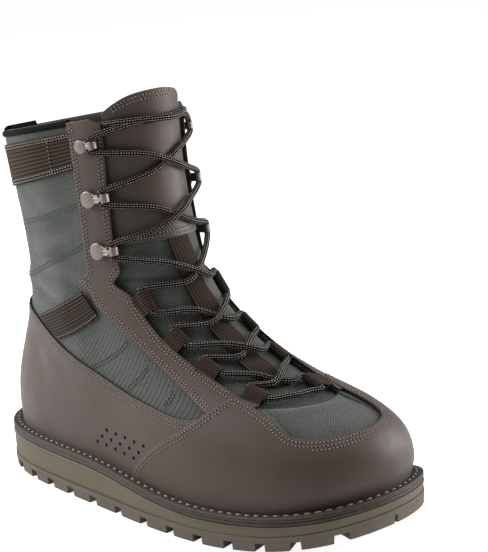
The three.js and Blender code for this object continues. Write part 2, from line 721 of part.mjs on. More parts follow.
// Webbing down the middle of the tongue.
function tongueStrap() {
  const face = (extra) => (i, j) => {
    const level = 4.5 + (7.75 - 4.5) * j / 8;
    const turn = turnAt(level, 3 - (i - 1) * 8.5);
    return offLast(turn, level, -tongueDepth(0.5, level) + extra);
  };
  return shell(2, 8, face(gap + 0.5 + webbing), face(gap + 0.5));
}

// The frame of a lace loop: its tip, the way out of the throat's edge, along that edge and away from the tongue.
function loopFrame(row, side) {
  const edgeAt = (level) => {
    const edge = read(THROAT, "level", side > 0 ? "outer" : "inner", Math.max(level, 3.7));
    return offLast(edge, level, 1);
  };
  const tip = offLast(turnAt(row.level, side * (side > 0 ? row.outer : row.inner) * ballWidth), row.level, row.off);
  const width = edgeAt(row.level + 0.3).sub(edgeAt(row.level - 0.3)).normalize();
  const across = tip.clone().sub(edgeAt(row.level));
  const along = across.clone().addScaledVector(width, -across.dot(width));
  const reach = along.length();
  along.normalize();
  const up = along.clone().cross(width).multiplyScalar(-side).normalize();
  return { tip, along, up, width, reach };
}

// A webbing lace loop: a flat fold from the throat's edge to the lace.
function laceLoop(row, side) {
  const { tip, along, up, reach } = loopFrame(row, side);
  const path = [[4, -0.6], [reach - 3.4, -2.5], [reach + 1.4, -2.6], [reach + 2.9, 0], [reach + 1.4, 2.6], [reach - 3.4, 2.5], [4, 0.6]]
    .map(([a, n]) => tip.clone().addScaledVector(along, a - reach).addScaledVector(up, n));
  return band(path, along.clone().cross(up), row.width * ballWidth, 1, true);
}

// The frame of a hook: the middle of its base, the way to the throat and away from the leather.
function hookFrame(row, side) {
  const turn = read(THROAT, "level", side > 0 ? "outer" : "inner", row.level) - side * row.behind;
  const normal = lastNormal(turn, row.level);
  const base = offLast(turn, row.level, 2.3);
  const across = offLast(turn + side * 0.04, row.level, 2.3).sub(base);
  const along = across.addScaledVector(normal, -across.dot(normal)).normalize();
  return { base, along, up: normal, reach: row.reach * hookReach };
}

// A speed hook: a round riveted base and an arm that turns up at its end.
function hook(row, side) {
  const { base, along, up, reach } = hookFrame(row, side);
  const width = along.clone().cross(up).normalize();
  const disc = new THREE.CylinderGeometry(4.6, 5, 1.8, 8);
  disc.applyQuaternion(new THREE.Quaternion().setFromUnitVectors(new THREE.Vector3(0, 1, 0), up));
  const middle = base.clone().addScaledVector(up, 0.9);
  disc.translate(middle.x, middle.y, middle.z);
  const path = [[0, 1], [reach - 5, 0.8], [reach - 1.5, 1], [reach, 2.8], [reach - 1.6, 4.8]]
    .map(([a, n]) => base.clone().addScaledVector(along, a).addScaledVector(up, n));
  return join([disc, band(path, width, 6, 1.2)]);
}

// Where the lace meets a loop or a hook: a little past it, on its lower half for -1 or its upper half for 1.
function port(pair, side, half) {
  if (pair.width) {
    const { tip, along, width } = loopFrame(pair, side);
    return tip.addScaledVector(along, 5.1).addScaledVector(width, half * 2.6);
  }
  const { base, along, up, reach } = hookFrame(pair, side);
  const width = up.clone().cross(along).multiplyScalar(side);
  return base.addScaledVector(along, reach + 1.2).addScaledVector(up, 2.7).addScaledVector(width, half * 2.6);
}

// A length of lace from one place to another over the tongue, at a set depth in its middle.
function strand(start, end, levels, depth) {
  const inner = [0.3, 0.5, 0.7].map((s) => {
    const level = levels[0] + (levels[1] - levels[0]) * s;
    const x = start.x + (end.x - start.x) * s;
    return offLast(turnAt(level, x), level, depth);
  });
  const curve = new THREE.CatmullRomCurve3([start, ...inner, end]);
  const outline = new THREE.Shape(Array.from({ length: 6 }, (_, i) => {
    const angle = Math.PI * i / 3;
    return new THREE.Vector2(laceRadius * Math.cos(angle), laceRadius * Math.sin(angle));
  }));
  return new THREE.ExtrudeGeometry(outline, { steps: 5, bevelEnabled: false, extrudePath: curve });
}

function crossing(low, high, depth) {
  const levels = [low.level, high.level];
  return join([1, -1].map((side) => strand(port(low, side, 1), port(high, -side, -1), levels, depth)));
}

add("outsole", outsole(), LOOK.rubber);
add("midsole", midsole(), LOOK.midsole);
add("board", board(), LOOK.welt);
add("welt", welt(), LOOK.welt);
add("insole", insole(), LOOK.black);
add("upper", upper(), LOOK.cloth);
add("tongue", tongue(), LOOK.leather);
add("rand", rand(), LOOK.leather);
add("vamp", vamp(), LOOK.leather);
add("eyestay_outer", eyestay(false), LOOK.leather);
add("eyestay_inner", eyestay(true), LOOK.leather);
add("collar_webbing", collarWebbing(), LOOK.webbing);
add("collar_binding", collarBinding(), LOOK.black);
add("ankle_webbing_outer", ankleWebbing(false), LOOK.webbing);
add("ankle_webbing_inner", ankleWebbing(true), LOOK.webbing);
add("pull_loop", pullLoop(), LOOK.black);
add("tongue_strap", tongueStrap(), LOOK.webbing);
for (const [label, side] of [["outer", 1], ["inner", -1]]) {
  LOOPS.forEach((row, k) => add(`lace_loop_${label}_${k + 1}`, laceLoop(row, side), LOOK.webbing));
  HOOKS.forEach((row, k) => add(`hook_${label}_${k + 1}`, hook(row, side), LOOK.metal));
}
const pairs = [...LOOPS, ...HOOKS];
LACE_DEPTHS.forEach((depth, k) => add(`lace_${k + 1}`, crossing(pairs[k], pairs[k + 1], depth), LOOK.lace));
const bar = [1, -1].map((side) => port(LOOPS[0], side, -1));
add("lace_bar", strand(bar[0], bar[1], [LOOPS[0].level - 0.1, LOOPS[0].level - 0.1], -1), LOOK.lace);
const top = [1, -1].map((side) => port(HOOKS[2], side, 1));
add("lace_top", strand(top[0], top[1], [9.68, 9.68], 1.5), LOOK.lace);

export default boot;
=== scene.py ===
# A right wading boot: leather over woven cloth, laced through webbing loops and hooks, on a lugged rubber
# sole. Each section is one part of the boot, in the order in which a bootmaker puts them together.
import math
from functools import lru_cache

import bmesh
import bpy
from mathutils import Matrix, Vector


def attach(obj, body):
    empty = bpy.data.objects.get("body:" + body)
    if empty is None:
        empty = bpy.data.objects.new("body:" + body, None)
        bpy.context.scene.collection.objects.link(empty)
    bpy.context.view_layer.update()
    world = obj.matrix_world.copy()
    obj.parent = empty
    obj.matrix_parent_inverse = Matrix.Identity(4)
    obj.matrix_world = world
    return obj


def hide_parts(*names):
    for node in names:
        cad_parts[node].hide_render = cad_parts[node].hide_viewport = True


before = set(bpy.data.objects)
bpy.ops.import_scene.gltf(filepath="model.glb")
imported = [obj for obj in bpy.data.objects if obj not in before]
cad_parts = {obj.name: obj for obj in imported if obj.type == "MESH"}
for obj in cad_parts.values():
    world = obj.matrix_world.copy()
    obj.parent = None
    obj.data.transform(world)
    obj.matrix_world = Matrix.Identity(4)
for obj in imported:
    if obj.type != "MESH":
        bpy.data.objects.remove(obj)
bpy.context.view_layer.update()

# Studio: a pale floor, a soft box at each side of the boot, one overhead, one below and a weak one by the
# camera. The camera looks at the outer side and the toe from 14 degrees up.
CAMERA_AZIMUTH = math.radians(134.2545)
CAMERA_ELEVATION = math.radians(14.0957)
CAMERA_ROLL = math.radians(-3.3777)
CAMERA_PLACE = Vector((0.733789, 0.884248, 0.409874))
CAMERA_LENS = 112.89
FLOOR_GLOW = 0.82


def colour(code):
    """The linear colour of an sRGB hex code."""
    channels = [int(code[i:i + 2], 16) / 255 for i in (0, 2, 4)]
    return tuple(c / 12.92 if c <= 0.04045 else ((c + 0.055) / 1.055) ** 2.4 for c in channels) + (1.0,)


def new_material(name):
    material = bpy.data.materials.new(name)
    material.use_nodes = True
    tree = material.node_tree
    return material, tree, tree.nodes["Principled BSDF"]


def add_node(tree, kind, inputs=None, **settings):
    """Adds a shader node with its settings; an input is given as a value or as another node's output."""
    made = tree.nodes.new("ShaderNode" + kind)
    for name, value in settings.items():
        setattr(made, name, value)
    for name, value in (inputs or {}).items():
        if isinstance(value, bpy.types.NodeSocket):
            tree.links.new(value, made.inputs[name])
        else:
            made.inputs[name].default_value = value
    return made


def noise(tree, spot, scale, detail=2.0):
    return add_node(tree, "TexNoise", {"Vector": spot, "Scale": scale, "Detail": detail}).outputs["Fac"]


def reckon(tree, operation, first, second=0.0):
    return add_node(tree, "Math", {0: first, 1: second}, operation=operation).outputs[0]


def ranged(tree, value, *ends):
    """A value carried from one range to another, or to 0 to 1 if only two ends are given."""
    return add_node(tree, "MapRange", {0: value, **dict(enumerate(ends, 1))}).outputs[0]


def mapped(tree, spot, scale, place=(0, 0, 0)):
    return add_node(tree, "Mapping", {"Vector": spot, "Location": place, "Scale": scale}).outputs[0]


def wave(tree, spot, scale, way, distortion=0.0, more={}):
    inputs = {"Vector": spot, "Scale": scale, "Distortion": distortion, **more}
    return add_node(tree, "TexWave", inputs, bands_direction=way).outputs["Fac"]


def mixed(tree, share, first, second):
    """A mix of two colours, each an sRGB hex code or another node's output."""
    first, second = (colour(end) if isinstance(end, str) else end for end in (first, second))
    return add_node(tree, "Mix", {0: share, 6: first, 7: second}, data_type="RGBA").outputs[2]


def surface(tree, shader, tone, height=None, strength=0.0, distance=0.0):
    """Gives a shader its colour and, from a height, its relief."""
    tree.links.new(tone, shader.inputs["Base Color"])
    if height is not None:
        bump = add_node(tree, "Bump", {"Height": height, "Strength": strength, "Distance": distance})
        tree.links.new(bump.outputs[0], shader.inputs["Normal"])


def grained(name, dark, light, scale, detail=2.0, strength=0.0, distance=0.0):
    """A material whose colour, and relief if it has any, follow one noise."""
    material, tree, shader = new_material(name)
    grain = noise(tree, add_node(tree, "TexCoord").outputs["Object"], scale, detail)
    surface(tree, shader, mixed(tree, grain, dark, light), grain if strength else None, strength, distance)
    return material, shader


def settle(shader, **values):
    """Sets a shader's values; a name is an input's, with underscores for its spaces."""
    for name, value in values.items():
        shader.inputs[name.replace("_", " ")].default_value = value


def camera_axes():
    flat, rise = math.cos(CAMERA_ELEVATION), math.sin(CAMERA_ELEVATION)
    back = Vector((math.sin(CAMERA_AZIMUTH) * flat, -math.cos(CAMERA_AZIMUTH) * flat, rise))
    right = Vector((math.cos(CAMERA_AZIMUTH), math.sin(CAMERA_AZIMUTH), 0))
    up = back.cross(right)
    c, s = math.cos(CAMERA_ROLL), math.sin(CAMERA_ROLL)
    return right * c + up * s, up * c - right * s, back


right_way, up_way, back_way = camera_axes()
camera = bpy.data.objects.new("camera", bpy.data.cameras.new("camera"))
camera.data.lens = CAMERA_LENS
camera.data.clip_end = 20
axes = Matrix((right_way, up_way, back_way)).transposed().to_4x4()
camera.matrix_world = Matrix.Translation(CAMERA_PLACE) @ axes
bpy.context.scene.collection.objects.link(camera)
bpy.context.scene.camera = camera

floor_material, tree, shader = new_material("floor_matt_paper")
speckle = add_node(tree, "TexNoise", {"Scale": 3.0})
surface(tree, shader, mixed(tree, speckle.outputs["Fac"], "f4f4f4", "fafafa"))
settle(shader, Roughness=0.9, Emission_Color=colour("ffffff"))
seen = add_node(tree, "LightPath").outputs["Is Camera Ray"]
tree.links.new(reckon(tree, "MULTIPLY", seen, FLOOR_GLOW), shader.inputs["Emission Strength"])
# From below the floor isn't seen, and right under the sole it lets light through, so that the tread can be
# looked at.
spot = add_node(tree, "TexCoord").outputs["Object"]
plan = mapped(tree, spot, (18, 6.25, 0), (0, -0.706, 0))
reach = add_node(tree, "VectorMath", {0: plan}, operation="LENGTH").outputs["Value"]
passed = reckon(tree, "MULTIPLY", reckon(tree, "LESS_THAN", reach, 1.0), reckon(tree, "SUBTRACT", 1.0, seen))
clear = reckon(tree, "MAXIMUM", passed, add_node(tree, "NewGeometry").outputs["Backfacing"])
tree.links.new(reckon(tree, "SUBTRACT", 1.0, clear), shader.inputs["Alpha"])
bm = bmesh.new()
bmesh.ops.create_grid(bm, x_segments=1, y_segments=1, size=6)
floor_mesh = bpy.data.meshes.new("floor")
bm.to_mesh(floor_mesh)
bm.free()
floor_mesh.materials.append(floor_material)
floor = bpy.data.objects.new("floor", floor_mesh)
bpy.context.scene.collection.objects.link(floor)

world = bpy.data.worlds.new("studio")
world.use_nodes = True
backdrop = world.node_tree.nodes["Background"]
backdrop.inputs["Color"].default_value = colour("ffffff")
seen = add_node(world.node_tree, "LightPath").outputs["Is Camera Ray"]
glow = ranged(world.node_tree, seen, 0.0, 1.0, 0.16, 1.05)
world.node_tree.links.new(glow, backdrop.inputs["Strength"])
bpy.context.scene.world = world
bpy.context.scene.view_settings.view_transform = "Standard"

AIM = Vector((0, 0.11, 0.11))
LIGHTS = [
    ("left_box", right_way * -1.1 + back_way * -0.1 + up_way * 0.6, 1.0, 18),
    ("right_box", right_way * 1.2 + back_way * -0.1 + up_way * 0.5, 1.0, 18),
    ("top_box", up_way * 1.4 + back_way * 0.3, 1.2, 7),
    ("front_box", back_way * 1.6 + up_way * 0.7, 1.0, 1.2),
    ("below_box", Vector((0.2, 0.2, -1.3)), 1.0, 12),
]
for label, reach, size, power in LIGHTS:
    lamp = bpy.data.objects.new(label, bpy.data.lights.new(label, "AREA"))
    lamp.data.size = size
    lamp.data.energy = power
    lamp.location = AIM + reach
    lamp.rotation_euler = reach.to_track_quat("Z", "Y").to_euler()
    bpy.context.scene.collection.objects.link(lamp)


# The last: the foot's form that all the sewn parts lie on, and the outline of the sole round its foot.
# Its tables are shares of the outsole's length, the ball's width and the collar's height, all in millimetres.
OUTSOLE_LENGTH, BALL_WIDTH, COLLAR_HEIGHT = 318, 118, 234
HEEL_END, HEEL_TOP, FOREFOOT_TOP = -46, 30.8, 21.6
TOE_SPRING, SPRING_START, WELT_LEDGE, SOLE_SPREAD = 12.8, 170, 6.2, 3
WELT_THICKNESS, BOARD_THICKNESS, OUTSOLE_HEIGHT, LUG_DEPTH = 3.2, 2.6, 9, 5
GAP, LEATHER, LACE_RADIUS = 0.3, 1.6, 2.0

# share of the length, outer edge, inner edge
OUTLINE = [
    (0.0, 0.0, 0.0), (0.06, 0.2585, -0.2542), (0.14, 0.3517, -0.3517), (0.28, 0.4153, -0.3559),
    (0.42, 0.4534, -0.3347), (0.56, 0.4915, -0.3856), (0.68, 0.4958, -0.4686), (0.78, 0.4661, -0.5042),
    (0.88, 0.3941, -0.5127), (0.95, 0.2627, -0.4576), (1.0, -0.1042, -0.1042),
]
# level, back, its height, front, its height, heel, waist outer, waist inner, ball outer, ball inner,
# roundness of the heel, of the toe, how far it follows the sole, its sag with the sole, its swing to the
# inner side
SECTIONS = [
    (0, -0.1274, 0.1316, 0.8349, 0.141, 0.3136, 0.3856, 0.2627, 0.4449, 0.3898, 4, 4, 1, 1, 0.1102),
    (1, -0.1336, 0.188, 0.8459, 0.1966, 0.3305, 0.3898, 0.2881, 0.4534, 0.4153, 3.6, 4, 0.93, 0.75, 0.1102),
    (2, -0.1321, 0.2564, 0.8318, 0.2607, 0.3263, 0.3729, 0.3008, 0.4407, 0.4237, 3.3, 4, 0.62, 0.5, 0.1102),
    (3, -0.1226, 0.3205, 0.7767, 0.3162, 0.3093, 0.3559, 0.3093, 0.4153, 0.3983, 3.1, 3.8, 0.25, 0.3, 0.1017),
    (4, -0.1069, 0.3846, 0.673, 0.3675, 0.2924, 0.3475, 0.3136, 0.3729, 0.3559, 3, 3.4, 0.05, 0.15, 0.0678),
    (5, -0.0912, 0.4444, 0.5692, 0.4316, 0.2797, 0.339, 0.3136, 0.339, 0.3263, 2.9, 3.2, 0, 0.05, 0.0339),
    (6, -0.0786, 0.5128, 0.4717, 0.5256, 0.2797, 0.3305, 0.3136, 0.322, 0.3136, 2.8, 3, 0, 0, 0.0169),
    (7, -0.0692, 0.594, 0.4088, 0.641, 0.2881, 0.3305, 0.322, 0.3136, 0.3093, 2.7, 3, 0, 0, 0),
    (8, -0.0723, 0.7009, 0.3679, 0.7778, 0.3008, 0.339, 0.3305, 0.3136, 0.3136, 2.6, 3.2, 0, 0, 0),
    (9, -0.0875, 0.836, 0.3459, 0.9359, 0.3136, 0.3475, 0.3475, 0.3178, 0.3178, 2.6, 3.4, 0, 0, 0),
    (10, -0.1075, 0.983, 0.3428, 1.094, 0.322, 0.3559, 0.3559, 0.322, 0.322, 2.6, 3.4, 0, 0, 0),
    (11, -0.1169, 1.068, 0.3428, 1.1966, 0.322, 0.3559, 0.3559, 0.322, 0.322, 2.6, 3.4, 0, 0, 0),
]


def clamp(value, low, high):
    return min(max(value, low), high)


def smooth(start, end, value):
    s = clamp((value - start) / (end - start), 0, 1)
    return s * s * (3 - 2 * s)


def hump(value, middle, half):
    """A soft bump of height one."""
    s = clamp(1 - abs(value - middle) / half, 0, 1)
    return s * s * (3 - 2 * s)


def read(table, column, value):
    """A smooth curve through a column of a table, against its first column."""
    last = len(table) - 1
    i = 0
    while i < last - 1 and value >= table[i + 1][0]:
        i += 1

    def rise(k):
        return (table[k + 1][column] - table[k][column]) / (table[k + 1][0] - table[k][0])

    def slope(k):
        return rise(0) if k == 0 else rise(last - 1) if k == last else (rise(k - 1) + rise(k)) / 2

    step = table[i + 1][0] - table[i][0]
    s = (value - table[i][0]) / step
    s2, s3 = s * s, s * s * s
    return ((2 * s3 - 3 * s2 + 1) * table[i][column] + (s3 - 2 * s2 + s) * step * slope(i)
            + (3 * s2 - 2 * s3) * table[i + 1][column] + (s3 - s2) * step * slope(i + 1))


ANGLES = [(math.acos(1 - 2 * share), outer, inner) for share, outer, inner in OUTLINE]


def lift(y):
    return TOE_SPRING * clamp((y - SPRING_START) / (HEEL_END + OUTSOLE_LENGTH - SPRING_START), 0, 1.2) ** 2


def rim_top(y):
    return FOREFOOT_TOP + (HEEL_TOP - FOREFOOT_TOP) * (1 - smooth(60, 175, y)) + 0.9 * lift(y)


def board_top(y):
    return rim_top(y) - WELT_THICKNESS


@lru_cache(maxsize=None)
def section(level):
    return [read(SECTIONS, column, level) for column in range(1, 15)]


@lru_cache(maxsize=None)
def last_point(turn, level):
    """A point of the last in millimetres: a turn of 0 is the heel, a half is the toe, the outer side comes
    first."""
    (back, back_high, front, front_high, heel, waist_outer, waist_inner, ball_outer, ball_inner,
     heel_round, toe_round, follow, sag, swing) = section(level)
    around = turn % 1
    outer = around <= 0.5
    angle = clamp(2 * math.pi * (around if outer else 1 - around), 0, math.pi)
    t = (1 - math.cos(angle)) / 2
    side = 1 if outer else -1
    waist, ball = (waist_outer, ball_outer) if outer else (waist_inner, ball_inner)
    half = heel + (waist - heel) * smooth(0.12, 0.42, t) + (ball - waist) * smooth(0.42, 0.72, t)
    cap = math.sqrt(clamp(1 - abs(1 - 2 * t) ** (heel_round if t < 0.5 else toe_round), 0, 1))
    free = (side * half * cap - swing * smooth(0.55, 1, t)) * BALL_WIDTH
    ledge = side * WELT_LEDGE * math.sqrt(clamp(math.sin(angle), 0, 1))
    foot = read(ANGLES, 1 if outer else 2, angle) * BALL_WIDTH - ledge
    y = (back + (front - back) * t) * OUTSOLE_LENGTH
    base = SECTIONS[0][2] + (SECTIONS[0][4] - SECTIONS[0][2]) * t
    high = (back_high + (front_high - back_high) * t) * COLLAR_HEIGHT
    return Vector((free + (foot - free) * follow, y, high + sag * (rim_top(y) - base * COLLAR_HEIGHT)))


@lru_cache(maxsize=None)
def last_normal(turn, level):
    low, high = max(level - 0.02, 0), min(level + 0.02, 11)
    across = last_point(turn + 0.002, level) - last_point(turn - 0.002, level)
    return across.cross(last_point(turn, high) - last_point(turn, low)).normalized()


def off_last(turn, level, distance=0.0):
    """A point off the last's surface, in millimetres; below level 0 it drops straight into the welt."""
    if level >= 0:
        return last_point(turn, level) + last_normal(turn, level) * distance
    normal = last_normal(turn, 0).copy()
    normal.z = 0
    drop = Vector((0, 0, level * (WELT_THICKNESS - GAP)))
    return last_point(turn, 0) + normal.normalized() * distance + drop


def turn_at(level, x):
    """The turn at which the front half of a level reaches a place across."""
    low, high = 0.2, 0.8
    for _ in range(24):
        middle = (low + high) / 2
        if last_point(middle, level).x > x:
            low = middle
        else:
            high = middle
    return (low + high) / 2


def edge_point(turn, inset=0.0):
    """A point of the sole's edge, moved inwards."""
    def edge(at):
        around = at % 1
        outer = around <= 0.5
        angle = clamp(2 * math.pi * (around if outer else 1 - around), 0, math.pi)
        x = read(ANGLES, 1 if outer else 2, angle) * BALL_WIDTH
        return Vector((x, HEEL_END + OUTSOLE_LENGTH * (1 - math.cos(angle)) / 2, 0))

    along = (edge(turn + 0.002) - edge(turn - 0.002)).normalized()
    return edge(turn) + Vector((-along.y, along.x, 0)) * (inset - SOLE_SPREAD)


def spread(columns, rows, place, origin=0.0, cloth=None):
    """A grid of faces with each corner moved to place(s, r), in millimetres. Its UV map holds metres of cloth
    along the rows, from the origin, and up the columns, or what cloth(s, r) gives for them."""
    bm = bmesh.new()
    bmesh.ops.create_grid(bm, x_segments=columns, y_segments=rows, size=0.5)
    wide = columns + 1
    spots = {}
    for vert in bm.verts:
        i, j = round((vert.co.x + 0.5) * columns), round((vert.co.y + 0.5) * rows)
        vert.co = place(i / columns, j / rows) * 0.001
        spots[vert.index] = (i, j)
    grid = [None] * (wide * (rows + 1))
    for vert in bm.verts:
        i, j = spots[vert.index]
        grid[j * wide + i] = vert.co.copy()
    lengths, heights = [0.0], [0.0]
    for i in range(columns):
        steps = [(grid[j * wide + i + 1] - grid[j * wide + i]).length for j in range(rows + 1)]
        lengths.append(lengths[-1] + sum(steps) / len(steps))
    for j in range(rows):
        steps = [(grid[(j + 1) * wide + i] - grid[j * wide + i]).length for i in range(wide)]
        heights.append(heights[-1] + sum(steps) / len(steps))
    start = lengths[round(origin * columns)]
    layer = bm.loops.layers.uv.new("cloth")
    for face in bm.faces:
        for loop in face.loops:
            i, j = spots[loop.vert.index]
            loop[layer].uv = cloth(i / columns, j / rows) if cloth else (lengths[i] - start, heights[j])
    bmesh.ops.remove_doubles(bm, verts=bm.verts, dist=1e-6)
    return bm


def outwards(bm, centre):
    """Turns the faces of an open sheet so that most look away from a centre in millimetres."""
    middle = Vector(centre) * 0.001
    side = sum((face.calc_center_median() - middle).dot(face.normal) * face.calc_area() for face in bm.faces)
    if side < 0:
        bmesh.ops.reverse_faces(bm, faces=bm.faces)


def piece(name, bm, material, slot, *nodes):
    """Makes an object of a mesh, riding on the boot and standing for its solids."""
    mesh = bpy.data.meshes.new(name)
    bm.to_mesh(mesh)
    bm.free()
    mesh.polygons.foreach_set("use_smooth", [True] * len(mesh.polygons))
    mesh.materials.append(material)
    made = bpy.data.objects.new(name, mesh)
    bpy.context.scene.collection.objects.link(made)
    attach(made, "root")
    if nodes:
        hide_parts(*nodes)
    return made


def thicken(made, millimetres, edge=0.4, rim=None):
    """Gives a sheet its thickness, inwards, and rounds its cut edges, whose material may be the rim's."""
    solid = made.modifiers.new("thickness", "SOLIDIFY")
    solid.thickness = millimetres * 0.001
    solid.offset = -1
    if rim:
        made.data.materials.append(rim)
        solid.material_offset_rim = 1
    if edge:
        bevel = made.modifiers.new("edge", "BEVEL")
        bevel.width = edge * 0.001
        bevel.segments = 2
        bevel.limit_method = "ANGLE"
        bevel.angle_limit = math.radians(50)
    return made


def sewn(name, bm, centre, material, slot, node, thickness, edge=0.4, rim=None):
    """Makes a piece of a sheet that faces away from a centre, and thickens it."""
    outwards(bm, centre)
    return thicken(piece(name, bm, material, slot, node), thickness, edge, rim)


# Outsole: vulcanised rubber in one moulding, a plate with deep lugs. Blocks with a bark-like grain stand
# round its edge, studs, some of them slotted, fill the middle, and the toe is a plain split plate.
rubber, tree, shader = new_material("outsole_moulded_rubber")
spot = add_node(tree, "TexCoord").outputs["Object"]
stretched = mapped(tree, spot, (1.0, 0.45, 0.3))
surface(tree, shader, mixed(tree, noise(tree, spot, 40.0, 4.0), "5b534a", "756b60"),
        noise(tree, stretched, 900.0, 3.0), 0.45, 0.0006)
settle(shader, Roughness=0.72, IOR=1.52)

# how far the lugs stand into the plate
LUG_ROOT = 0.8
# first turn, last turn, depth inwards
EDGE_BLOCKS = [
    (0.008, 0.05, 17), (0.064, 0.096, 17), (0.108, 0.128, 17), (0.138, 0.155, 17), (0.164, 0.182, 16),
    (0.19, 0.208, 14), (0.216, 0.236, 13), (0.243, 0.262, 14), (0.269, 0.287, 17), (0.294, 0.311, 18),
    (0.319, 0.337, 18), (0.345, 0.364, 18), (0.373, 0.394, 18), (0.404, 0.432, 19),
]
TOE_BLOCKS = [(0.446, 0.492, 25), (0.497, 0.556, 25)]
# place across, place along, radius, heading of the slot in degrees or None for a plain stud
STUDS = [
    (2, 240, 6, 200), (-26, 238, 6, 150), (20, 224, 6, None), (-8, 219, 6, 240), (-34, 214, 6, None),
    (30, 203, 6, 100), (8, 199, 7, 300), (-18, 193, 6, 250), (34, 178, 6, None), (14, 163, 6, 280),
    (-8, 172, 6.5, None), (-30, 156, 6, 80), (10, 144, 6, 230), (26, 126, 6, 320), (2, 116, 6, None),
    (-18, 108, 6, 200), (22, 96, 6, 60), (-14, 46, 6, 90), (2, 44, 6, None), (18, 30, 6, 110),
    (0, 0, 7, 300), (20, 6, 6, 70), (-20, 10, 6, None), (-3, 22, 6, 260),
]
# place across and along of the small studs
PINS = [
    (-12, 230), (12, 212), (-24, 204), (24, 190), (-2, 184), (-22, 172), (22, 150), (-10, 132), (14, 106),
    (-26, 128), (8, 58), (-10, 30), (10, 14), (-12, -8), (12, -10),
]
SOLE_STEPS = 200


def sole_plate(loops):
    """A stack of level loops from the bottom up, closed at both ends; a loop is an inset and a height."""
    rows = len(loops) - 1

    def place(s, r):
        inset, height = loops[round(r * rows)]
        point = edge_point(s, inset)
        return Vector((point.x, point.y, height(point.y)))

    bm = spread(SOLE_STEPS, rows, place)
    bmesh.ops.holes_fill(bm, edges=[edge for edge in bm.edges if edge.is_boundary], sides=0)
    bmesh.ops.recalc_face_normals(bm, faces=bm.faces)
    return bm


def pour(source, target):
    """Moves all of one mesh into another."""
    spare = bpy.data.meshes.new("spare")
    source.to_mesh(spare)
    source.free()
    target.from_mesh(spare)
    bpy.data.meshes.remove(spare)


def raise_lug(bm, outline, rim):
    """Adds one lug: its outline is drawn on the ground, then raised into the plate and widened by the rim."""
    centre = sum(outline, Vector((0, 0, 0))) / len(outline)
    verts = [bm.verts.new(Vector((p.x, p.y, lift(p.y))) * 0.001) for p in outline]
    face = bm.faces.new(verts)
    if sum(verts[i].co.cross(verts[i - 1].co).z for i in range(len(verts))) < 0:
        face.normal_flip()
    grown = bmesh.ops.extrude_face_region(bm, geom=[face])
    for vert in [v for v in grown["geom"] if isinstance(v, bmesh.types.BMVert)]:
        plan = Vector((vert.co.x, vert.co.y, 0)) - Vector((centre.x, centre.y, 0)) * 0.001
        vert.co += plan.normalized() * rim * 0.001
        vert.co.z = (lift(vert.co.y * 1000) + LUG_DEPTH + LUG_ROOT) * 0.001


def lug_bevel(bm, width):
    """Rounds the ground edges of the lugs."""
    low = [e for e in bm.edges if all(abs(v.co.z * 1000 - lift(v.co.y * 1000)) < 0.01 for v in e.verts)]
    bmesh.ops.bevel(bm, geom=low, offset=width * 0.001, segments=2, affect="EDGES", profile=0.5, material=-1)


bm = bmesh.new()
for start, end, depth in EDGE_BLOCKS + [(1 - b, 1 - a, d) for a, b, d in EDGE_BLOCKS] + TOE_BLOCKS:
    steps = 10 if end - start > 0.04 else 4
    turns = [start + (end - start) * k / steps for k in range(steps + 1)]
    ring = [edge_point(t, 0.35) for t in turns] + [edge_point(t, depth) for t in reversed(turns)]
    raise_lug(bm, ring, 0.5)
for x, y, radius, heading in STUDS:
    ring = []
    for k in range(24):
        angle = 2 * math.pi * (k + 0.5) / 24
        ring.append(Vector((x + radius * math.cos(angle), y + radius * math.sin(angle), 0)))
    if heading is not None:
        way = Vector((math.cos(math.radians(heading)), math.sin(math.radians(heading)), 0))
        ring.sort(key=lambda p: (math.atan2(p.y - y, p.x - x) - math.radians(heading)) % (2 * math.pi))
        side = Vector((-way.y, way.x, 0)) * 0.8
        inner = Vector((x, y, 0)) + way * radius * 0.15
        ring = [inner + side * 0.7] + ring + [inner - side * 0.7]
    raise_lug(bm, ring, 0.3)
for x, y in PINS:
    angles = [k * math.pi / 8 for k in range(16)]
    ring = [Vector((x + 3 * math.cos(angle), y + 3 * math.sin(angle), 0)) for angle in angles]
    raise_lug(bm, ring, 0.3)
lug_bevel(bm, 0.45)
plate = sole_plate([(0.7, lambda y: lift(y) + LUG_DEPTH), (0.0, lambda y: lift(y) + LUG_DEPTH + LUG_ROOT),
                    (0.0, lambda y: lift(y) + OUTSOLE_HEIGHT)])
pour(plate, bm)
outsole = piece("outsole_tread", bm, rubber, "rubber_sole", "outsole")
for polygon in outsole.data.polygons:
    polygon.use_smooth = False

# Midsole: a wedge of moulded foam rubber, cemented to the outsole, with a fine moulded lip along its top.
foam, tree, shader = new_material("midsole_moulded_foam")
spot = add_node(tree, "TexCoord").outputs["Object"]
surface(tree, shader, mixed(tree, noise(tree, spot, 25.0, 5.0), "5d5644", "726a56"),
        noise(tree, spot, 1400.0), 0.25, 0.0003)
settle(shader, Roughness=0.65, IOR=1.5)


def midsole_height(share):
    def height(y):
        base = lift(y) + OUTSOLE_HEIGHT
        top = board_top(y) - BOARD_THICKNESS
        return base + (top - base) * share
    return height


bm = sole_plate([(0.9, midsole_height(0)), (0.5, midsole_height(0.04)), (0.35, midsole_height(0.2)),
                 (0.3, midsole_height(0.8)), (0.3, midsole_height(0.88)), (-0.15, midsole_height(0.91)),
                 (-0.2, midsole_height(0.97)), (0.4, midsole_height(1.0))])
piece("midsole_wedge", bm, foam, "midsole", "midsole")

